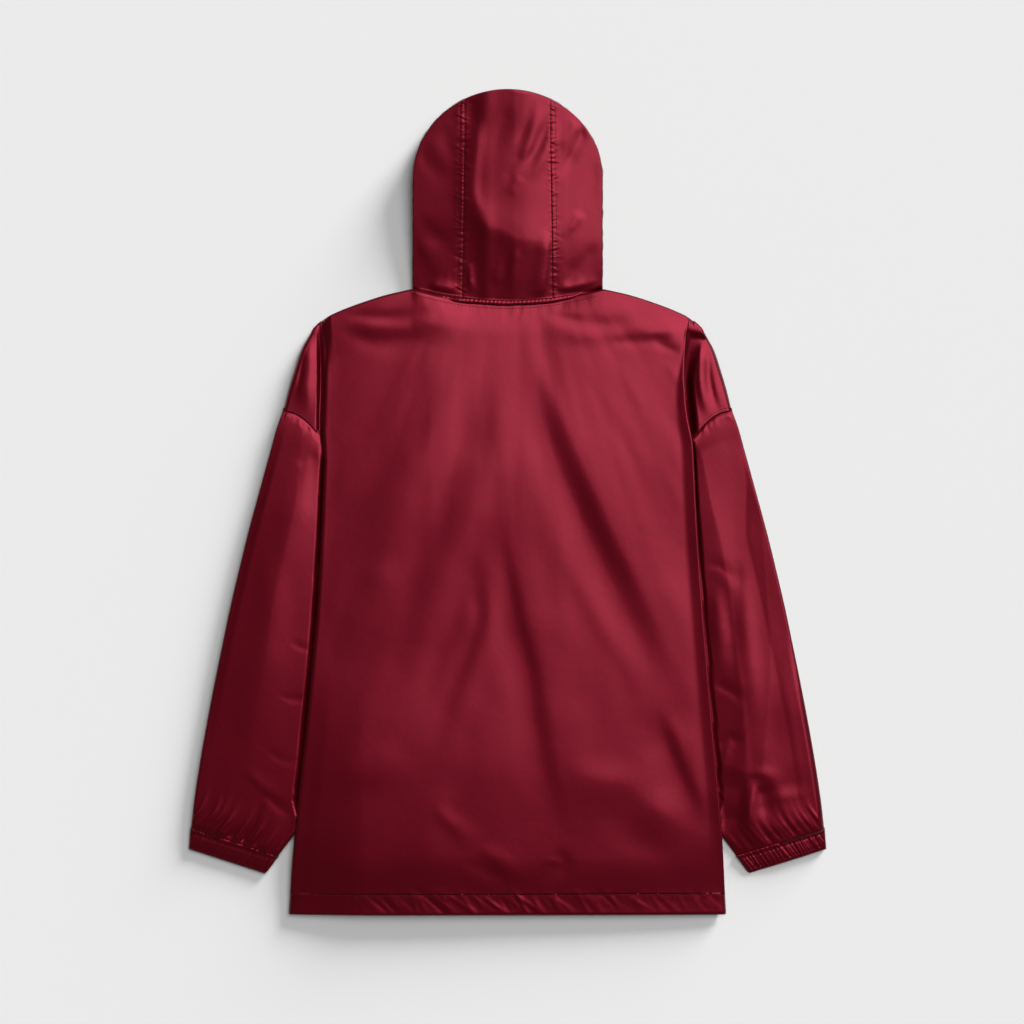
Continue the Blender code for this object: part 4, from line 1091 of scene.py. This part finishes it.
def hood_side_grid(side):
    """A side panel of the hood, as if on the right: its upper layer, and the layer on the floor."""
    along = closing_up(300, 1.1)[:, None]
    seam_x = mix(HOOD_SEAM_LOW, HOOD_SEAM_HIGH, along)
    seam_y = mix(neck_y(seam_x), hood_top_y(seam_x), along)
    edge_x, edge_y = hood_outline(along, HOOD_SEAM_HIGH + 0.2)
    share = closing_up(52, 1.5)[None, :]
    x = mix(seam_x, edge_x, share)
    y = mix(neck_y(x), mix(seam_y, edge_y, share), ease(along / 0.03))
    sunk = (0.05 if side > 0 else 0.13) * (1 - ease((x - seam_x) / 2.5))
    z = hood_level(x, y, side * x) + hood_creases(side * x, y) - sunk
    # Its upright wall hangs a little slack.
    wall = ease(1 - hood_depth(x, y) / HOOD_ROUND) * ease((z - EDGE) / 4)
    slack = 0.9 * wall * ripple(340 * along + 0.5 * z, z, 11, 61 if side > 0 else 62)
    up = np.maximum(y - DOME_Y, 0)
    away = np.hypot(x, up)
    top = lean(xyz(x + slack * x / away, y + slack * up / away, z))
    under = HOOD_UNDER[None, :]
    x = mix(edge_x, curve(FACE_OPENING, along, 1), under)
    y = mix(edge_y, curve(FACE_OPENING, along, 2), under)
    y = mix(front_neck_y(np.abs(x)), y, ease(along / 0.2))
    return np.concatenate([top, xyz(x, y, under_level(under))], axis=1)


def hood_center_grid():
    """The middle panel, whose long edges lie under the side panels."""
    along = closing_up(300, 1.2)[:, None]
    half = mix(HOOD_SEAM_LOW, HOOD_SEAM_HIGH, along)
    share = np.linspace(-1, 1, 68)[None, :]
    x = share * (half + HOOD_LAP)
    y = mix(neck_y(x), hood_top_y(x), along)
    hidden = ease((np.abs(x) - half + 1.0) / 1.5)
    top = lean(xyz(x, y, hood_level(x, y, x) + hood_creases(x, y) - 0.15 * hidden))
    under = HOOD_UNDER[:, None]
    open_x, open_y = FACE_OPENING[-1][1:]
    x = share * mix(HOOD_SEAM_HIGH, open_x, under)
    y = mix(hood_top_y(x), open_y, under)
    return np.concatenate([top, xyz(x, y, under_level(under))], axis=0)


def roll_grid():
    """The soft roll over the neck seam: a narrow tube, drawn up unevenly along its length."""
    x = np.linspace(-ROLL_REACH, ROLL_REACH, 300)[:, None]
    angle = np.linspace(0, 2 * np.pi, 17)[None, :-1]
    ends = np.sqrt(np.clip(1 - (np.abs(x) / ROLL_REACH) ** 8, 0.02, 1))
    twist = np.sin(x * 1.25 + 1.6 * uneven(x, 9, 21) + 1.3 * angle) * (0.14 + 0.09 * uneven(x, 14, 22))
    wide = (ROLL_HALF_WIDTH + 0.35 * uneven(x, 12, 23) + twist) * ends
    high = (ROLL_HALF_HEIGHT + twist) * ends
    center = neck_y(x) - ROLL_DROP + ROLL_RISE * ease((x - 78) / 18) - 1.6 * ease((-x - 40) / 30)
    y = center + wide * np.cos(angle) + 0.3 * uneven(x, 24, 24)
    stand = 0.8 * neck_stand(x, np.maximum(neck_y(x) - center, 0))
    ground = np.minimum(hood_level(x, center, x), neck_level(x) + 4.5)
    return xyz(x, y, ground + ROLL_LIFT + stand + high * np.sin(angle))


# Materials


def linear(code):
    """A hex colour as linear red, green and blue."""
    parts = [int(code[place: place + 2], 16) / 255 for place in (1, 3, 5)]
    return tuple(part / 12.92 if part <= 0.04045 else ((part + 0.055) / 1.055) ** 2.4 for part in parts)


def set_values(node, values):
    for name, value in values.items():
        node.inputs[name].default_value = value


def add_node(tree, kind, values=None, links=None, **settings):
    """A node with its settings, the values of its sockets and the outputs that feed them."""
    node = tree.nodes.new(kind)
    for name, value in settings.items():
        setattr(node, name, value)
    set_values(node, values or {})
    for name, output in (links or {}).items():
        tree.links.new(output, node.inputs[name])
    return node


def new_material(name, values):
    made = bpy.data.materials.new(name)
    made.use_nodes = True
    shader = made.node_tree.nodes["Principled BSDF"]
    set_values(shader, values)
    return made, made.node_tree, shader


def two_tones(tree, shader, dark, light, kind, values, **settings):
    """Colours the shader between two tones by a pattern, and gives the pattern and where it is drawn."""
    place = add_node(tree, "ShaderNodeTexCoord").outputs["Object"]
    pattern = add_node(tree, kind, values, {"Vector": place}, **settings).outputs["Fac"]
    shade = add_node(tree, "ShaderNodeMix", {"A": (*dark, 1), "B": (*light, 1)}, {"Factor": pattern},
                     data_type="RGBA")
    tree.links.new(shade.outputs["Result"], shader.inputs["Base Color"])
    return pattern, place


# The soft crumple of thin cloth, then its fine unevenness: the noise and how it stands up.
CRUMPLE = [({"Scale": 60, "Detail": 2, "Distortion": 0.6}, {"Strength": 0.16, "Distance": 0.001}),
           ({"Scale": 190, "Detail": 3, "Distortion": 0.4}, {"Strength": 0.12, "Distance": 0.0006})]


def nylon_taffeta(colors):
    """Plain-weave nylon taffeta, dyed in the piece and calendered, which leaves a broad tinted sheen."""
    made, tree, shader = new_material("nylon taffeta, calendered", {
        "Roughness": 0.36, "IOR": 1.53, "Metallic": 0, "Specular IOR Level": 0.96,
        "Specular Tint": (1, 0.015, 0.095, 1),
        "Coat Weight": 0.14, "Coat Roughness": 0.27, "Coat IOR": 1.5})
    place = two_tones(tree, shader, colors.nylon_shade, colors.nylon, "ShaderNodeTexNoise",
                      {"Scale": 9, "Detail": 3})[1]
    links = {}
    for noise, bump in CRUMPLE:
        height = add_node(tree, "ShaderNodeTexNoise", noise, {"Vector": place}).outputs["Fac"]
        bump = add_node(tree, "ShaderNodeBump", bump, {"Height": height, **links})
        links = {"Normal": bump.outputs["Normal"]}
    tree.links.new(links["Normal"], shader.inputs["Normal"])
    return made


def polyester_thread(colors):
    """Spun polyester sewing thread: matt, its twist too fine to show, so it reads as dark dots."""
    found = bpy.data.materials.get("spun polyester thread")
    if found:
        return found
    made, tree, shader = new_material("spun polyester thread",
                                      {"Roughness": 0.7, "IOR": 1.58, "Specular IOR Level": 0.12})
    two_tones(tree, shader, colors.thread_shade, colors.thread, "ShaderNodeTexNoise",
              {"Scale": 900, "Detail": 2})
    return made


def woven_tape(colors):
    """Woven polyester zip tape: a matt herringbone, whose ribs of 1 mm are drawn as they are, with
    painted shade in their hollows.
    """
    made, tree, shader = new_material("woven polyester tape", {"Roughness": 0.75, "IOR": 1.58})
    # The pattern that raises the ribs also colours them, so their hollows take the darker tone as painted
    # shade.
    ribs = two_tones(tree, shader, colors.tape_painted_shade, colors.tape, "ShaderNodeTexWave",
                     {"Scale": 320, "Distortion": 1.5, "Detail": 1}, bands_direction="DIAGONAL")[0]
    bump = add_node(tree, "ShaderNodeBump", {"Strength": 0.4, "Distance": 0.0003}, {"Height": ribs})
    tree.links.new(bump.outputs["Normal"], shader.inputs["Normal"])
    return made


def plated_brass(colors):
    """Die-cast and stamped zip metal with a dark plating, tumbled smooth, with faint rubbed scratches."""
    made, tree, shader = new_material("dark plated brass", {"Metallic": 1})
    wear = two_tones(tree, shader, colors.metal_shade, colors.metal, "ShaderNodeTexNoise",
                     {"Scale": 260, "Detail": 4})[0]
    rough = add_node(tree, "ShaderNodeMapRange", {"To Min": 0.24, "To Max": 0.42}, {"Value": wear})
    tree.links.new(rough.outputs["Result"], shader.inputs["Roughness"])
    return made


# Pieces


class ParkaSizes(bpy.types.PropertyGroup):
    shell: bpy.props.FloatProperty(
        name="Cloth thickness", description="Thickness of the nylon shells", default=0.0006, min=0.0002,
        max=0.001, unit="LENGTH", subtype="DISTANCE")


def color(name, description, code):
    return bpy.props.FloatVectorProperty(
        name=name, description=description, default=linear(code), min=0, max=1, subtype="COLOR")


class ParkaColors(bpy.types.PropertyGroup):
    nylon: color("Nylon", "Dyed nylon in the light", "#350205")
    nylon_shade: color("Nylon shade", "Its darker tone", "#2d0204")
    thread: color("Thread", "Sewing thread", "#4a0c18")
    thread_shade: color("Thread shade", "Its darker tone", "#2a040a")
    tape: color("Zip tape", "Woven tape of the zip", "#4c0a16")
    # The zip tape's darker tone is painted shade, laid in the hollows of its ribs.
    tape_painted_shade: color("Zip tape shade", "Its darker tone", "#33050d")
    metal: color("Zip metal", "Dark plating on the zip", "#9c8e84")
    metal_shade: color("Zip metal shade", "Its darker tone", "#6e625a")


def nylon_of(context):
    found = bpy.data.materials.get("nylon taffeta, calendered")
    return found or nylon_taffeta(context.scene.parka_colors)


def cloth_piece(context, name, node, *grids, thickness=None):
    """A shell of nylon on the garment, in place of its solid."""
    made = add_shell(name, thickness or context.scene.parka_sizes.shell, *grids)
    made.data.materials.append(nylon_of(context))
    return settle(made, node)


def pair(name):
    """The left and the right of a piece: its name, its side, and what turns points of the right to it."""
    return [(f"{name}_left", -1, np.array([-1, 1, 1])), (f"{name}_right", 1, np.ones(3))]


def beside(line, side):
    return [(side * x, y) for x, y in line]


def armhole_line(further):
    """Points along the armhole seam, FURTHER millimetres up the shoulder from it."""
    share = np.linspace(0.02, 0.97, 24)
    x, y = cap_place(np.full(share.shape, UNDERARM_DROP - further), share)
    return list(zip(x, y))


class PARKA_OT_back(bpy.types.Operator):
    """Makes the back, with its creases, its turned hem and their stitches"""

    bl_idname = "parka.back"
    bl_label = "Back"

    def execute(self, context):
        grids = [grid_faces(*back_cloth()), grid_faces(hem_cloth())]
        made = cloth_piece(context, "back_cloth", "back", *grids)
        hem = [(x, HEM_STITCH_Y) for x in np.linspace(-266, 266, 200)]
        armholes = [beside(armhole_line(further), side) for side in (-1, 1) for further in (1.6, 7)]
        neck = [(x, neck_y(x) - 7.5) for x in np.linspace(-112, 112, 90)]
        sewn = [sew("hem_stitches", made, [hem]), sew("armhole_stitches", made, armholes),
                sew("neck_stitches", made, [neck])]
        return {"FINISHED"}


class PARKA_OT_fronts(bpy.types.Operator):
    """Makes the two fronts, which lie under the back"""

    bl_idname = "parka.fronts"
    bl_label = "Fronts"

    def execute(self, context):
        zip_line = [(18, y) for y in np.linspace(-500, 176, 200)]
        hem_line = [(x, HEM_STITCH_Y) for x in np.linspace(20, 262, 90)]
        for name, side, turn in pair("front"):
            points, keep = front_grid(side)
            grid = grid_faces(points * turn, keep, flip=side > 0)
            made = cloth_piece(context, name + "_cloth", name, grid)
            lines = [beside(zip_line, side), beside(hem_line, side)]
            sewn = sew(name + "_stitches", made, lines, below=True)
        return {"FINISHED"}


class PARKA_OT_sleeves(bpy.types.Operator):
    """Makes the sleeves, their creases and the gathers above their cuffs"""

    bl_idname = "parka.sleeves"
    bl_label = "Sleeves"

    def execute(self, context):
        for name, side, turn in pair("sleeve"):
            along, (points, across, on_top) = sleeve_rings(side)
            points = lapped(crease_sleeve(points, along, across, on_top, side), on_top)
            grid = grid_faces(points * turn, around=True, flip=side < 0)
            made = cloth_piece(context, name + "_cloth", name, grid)
        return {"FINISHED"}


class PARKA_OT_cuffs(bpy.types.Operator):
    """Makes the elastic cuffs, drawn up over their elastic"""

    bl_idname = "parka.cuffs"
    bl_label = "Cuffs"

    def execute(self, context):
        place = [curve(CUFF, CUFF_STITCH_PLACE, column) for column in range(1, 5)]
        seam = [(mix(place[2], place[0], step), mix(place[3], place[1], step))
                for step in np.linspace(0.03, 0.97, 60)]
        for name, side, turn in pair("cuff"):
            along, (points, across, on_top) = cuff_rings(side)
            points = crease_cuff(points, along, across, on_top, side)
            grid = grid_faces(points * turn, around=True, flip=side < 0)
            made = cloth_piece(context, name + "_cloth", name, grid, thickness=CUFF_SHELL)
            sewn = sew(name + "_stitches", made, [beside(seam, side)])
        return {"FINISHED"}


class PARKA_OT_hood(bpy.types.Operator):
    """Makes the three panels of the hood and the double stitching of their seams"""

    bl_idname = "parka.hood"
    bl_label = "Hood"

    def execute(self, context):
        grid = grid_faces(hood_center_grid(), flip=True)
        made = cloth_piece(context, "hood_center_cloth", "hood_center", grid)
        steps = np.linspace(0, 1, 90)
        seam = [(mix(HOOD_SEAM_LOW, HOOD_SEAM_HIGH, step), mix(260, 500, step)) for step in steps]
        for name, side, turn in pair("hood"):
            grid = grid_faces(hood_side_grid(side) * turn, flip=side > 0)
            made = cloth_piece(context, name + "_cloth", name, grid)
            lines = [beside([(x + apart, y) for x, y in seam], side) for apart in (0.8, 6)]
            sewn = sew(name + "_stitches", made, lines)
        return {"FINISHED"}


class PARKA_OT_neck_roll(bpy.types.Operator):
    """Makes the soft roll that covers the neck seam"""

    bl_idname = "parka.neck_roll"
    bl_label = "Neck roll"

    def execute(self, context):
        grid = grid_faces(roll_grid(), around=True, flip=True)
        made = cloth_piece(context, "neck_roll", "neck_binding", grid)
        return {"FINISHED"}


def tape_grid(side):
    """A zip tape with the cord along its inner edge."""
    y = np.linspace(*ZIP_ENDS, 220)[:, None]
    across = np.array([TAPE_IN, TAPE_IN + 0.8, TAPE_IN + 1.8, 6, 8, 10, 12, 14, TAPE_OUT])[None, :]
    bead = 0.35 * np.exp(-((across - TAPE_IN - 0.9) / 0.8) ** 2)
    return xyz(side * across, y, zip_level(y) - bead)


def teeth_grids():
    """Meshed teeth, left and right in turn, each a small rounded block."""
    ring = np.array([(-1, -1), (0.3, -1), (1, -0.55), (1, 0.55), (0.3, 1), (-1, 1)]).T
    grids = []
    for side in (-1, 1):
        start = CHAIN_ENDS[0] + TOOTH_PITCH / (4 if side > 0 else 4 / 3)
        for y in np.arange(start, CHAIN_ENDS[1], TOOTH_PITCH):
            rows = []
            for height, size in ((-1, 0.82), (-0.75, 1), (0.75, 1), (1, 0.82)):
                x = side * (TOOTH_CENTER - TOOTH_LENGTH / 2 * size * ring[0])
                along = y + TOOTH_PITCH * 0.24 * size * ring[1]
                rows.append(xyz(x, along, zip_level(y) + TOOTH_HEIGHT / 2 * height))
            grids.append(grid_faces(np.stack(rows), around=True, flip=side < 0))
    return grids


class PARKA_OT_zip(bpy.types.Operator):
    """Makes the zip's tapes and teeth, and finishes its slider, pull, stops and box"""

    bl_idname = "parka.zip"
    bl_label = "Zip"

    def execute(self, context):
        colors = context.scene.parka_colors
        tape, metal = woven_tape(colors), plated_brass(colors)
        for name, side, _ in pair("zip_tape"):
            made = add_shell(name + "_weave", TAPE_SHELL, grid_faces(tape_grid(side), flip=side > 0))
            made.data.materials.append(tape)
            settle(made, name)
        teeth = add_mesh("zip_teeth", *teeth_grids())
        teeth.data.materials.append(metal)
        settle(teeth, "zip_chain")
        for name in ("zip_slider", "zip_pull", "zip_stop_left", "zip_stop_right", "zip_box"):
            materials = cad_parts[name].data.materials
            materials.clear()
            materials.append(metal)
        return {"FINISHED"}


# Stage

# Softboxes: towards, strength, spread in degrees. The last one skims the floor and lights nothing else.
STUDIO_LIGHTS = [
    ("key", (0.3, 0.33, 0.88), 3.6, 50),
    ("side", (0.6, 0.6, 0.45), 1, 50),
    ("skim", (0.605, 0.774, 0.186), 18.2, 22),
]
PAPER = {"Base Color": (*linear("#9f9f9f"), 1), "Roughness": 0.9, "Specular IOR Level": 0.1}
# The rest in metres: half the floor's width, its height, and where the camera hangs, over the middle.
FLOOR_REACH = 30
FLOOR_Z = -0.0002
CAMERA_AT = (0.0056, -0.0131, 2.1333)
WORLD_STRENGTH = 0.12


class PARKA_OT_stage(bpy.types.Operator):
    """Makes the floor, the studio light and the camera"""

    bl_idname = "parka.stage"
    bl_label = "Stage"

    def execute(self, context):
        scene = context.scene
        mesh = bpy.data.meshes.new("floor")
        corners = [(x * FLOOR_REACH, y * FLOOR_REACH, 0) for x, y in ((-1, -1), (1, -1), (1, 1), (-1, 1))]
        mesh.from_pydata(corners, [], [(0, 1, 2, 3)])
        mesh.materials.append(new_material("matt paper", PAPER)[0])
        floor = add_object("floor", mesh)
        floor.location.z = FLOOR_Z
        scene.world = bpy.data.worlds.new("studio")
        scene.world.use_nodes = True
        background = scene.world.node_tree.nodes["Background"]
        set_values(background, {"Color": (1, 1, 1, 1), "Strength": WORLD_STRENGTH})
        for name, towards, strength, spread in STUDIO_LIGHTS:
            light = bpy.data.lights.new(name, "SUN")
            light.energy = strength
            light.angle = math.radians(spread)
            lamp = add_object(name, light)
            lamp.rotation_mode = "QUATERNION"
            lamp.rotation_quaternion = Vector(towards).to_track_quat("Z", "Y")
            if name == "skim":
                only_floor = bpy.data.collections.new("lit by the skimming light")
                only_floor.objects.link(floor)
                lamp.light_linking.receiver_collection = only_floor
        camera = bpy.data.cameras.new("camera")
        camera.lens, camera.sensor_width = 60, 36
        scene.camera = add_object("camera", camera)
        scene.camera.location = CAMERA_AT
        scene.view_settings.view_transform = "Standard"
        return {"FINISHED"}


class PARKA_PT_tools(bpy.types.Panel):
    """Lists the makers of the parka's pieces"""

    bl_idname = "PARKA_PT_tools"
    bl_label = "Parka"
    bl_space_type = "VIEW_3D"
    bl_region_type = "UI"
    bl_category = "Parka"

    def draw(self, context):
        for name in STEPS:
            self.layout.operator("parka." + name)


STEPS = ["fronts", "back", "sleeves", "cuffs", "hood", "neck_roll", "zip", "stage"]
CLASSES = [ParkaSizes, ParkaColors, PARKA_OT_back, PARKA_OT_fronts, PARKA_OT_sleeves, PARKA_OT_cuffs,
           PARKA_OT_hood, PARKA_OT_neck_roll, PARKA_OT_zip, PARKA_OT_stage, PARKA_PT_tools]


def register():
    for made in CLASSES:
        bpy.utils.register_class(made)
    bpy.types.Scene.parka_sizes = bpy.props.PointerProperty(type=ParkaSizes)
    bpy.types.Scene.parka_colors = bpy.props.PointerProperty(type=ParkaColors)


def unregister():
    del bpy.types.Scene.parka_colors
    del bpy.types.Scene.parka_sizes
    for made in reversed(CLASSES):
        bpy.utils.unregister_class(made)


def main():
    register()
    for name in STEPS:
        getattr(bpy.ops.parka, name)()


if __name__ == "__main__":
    main()
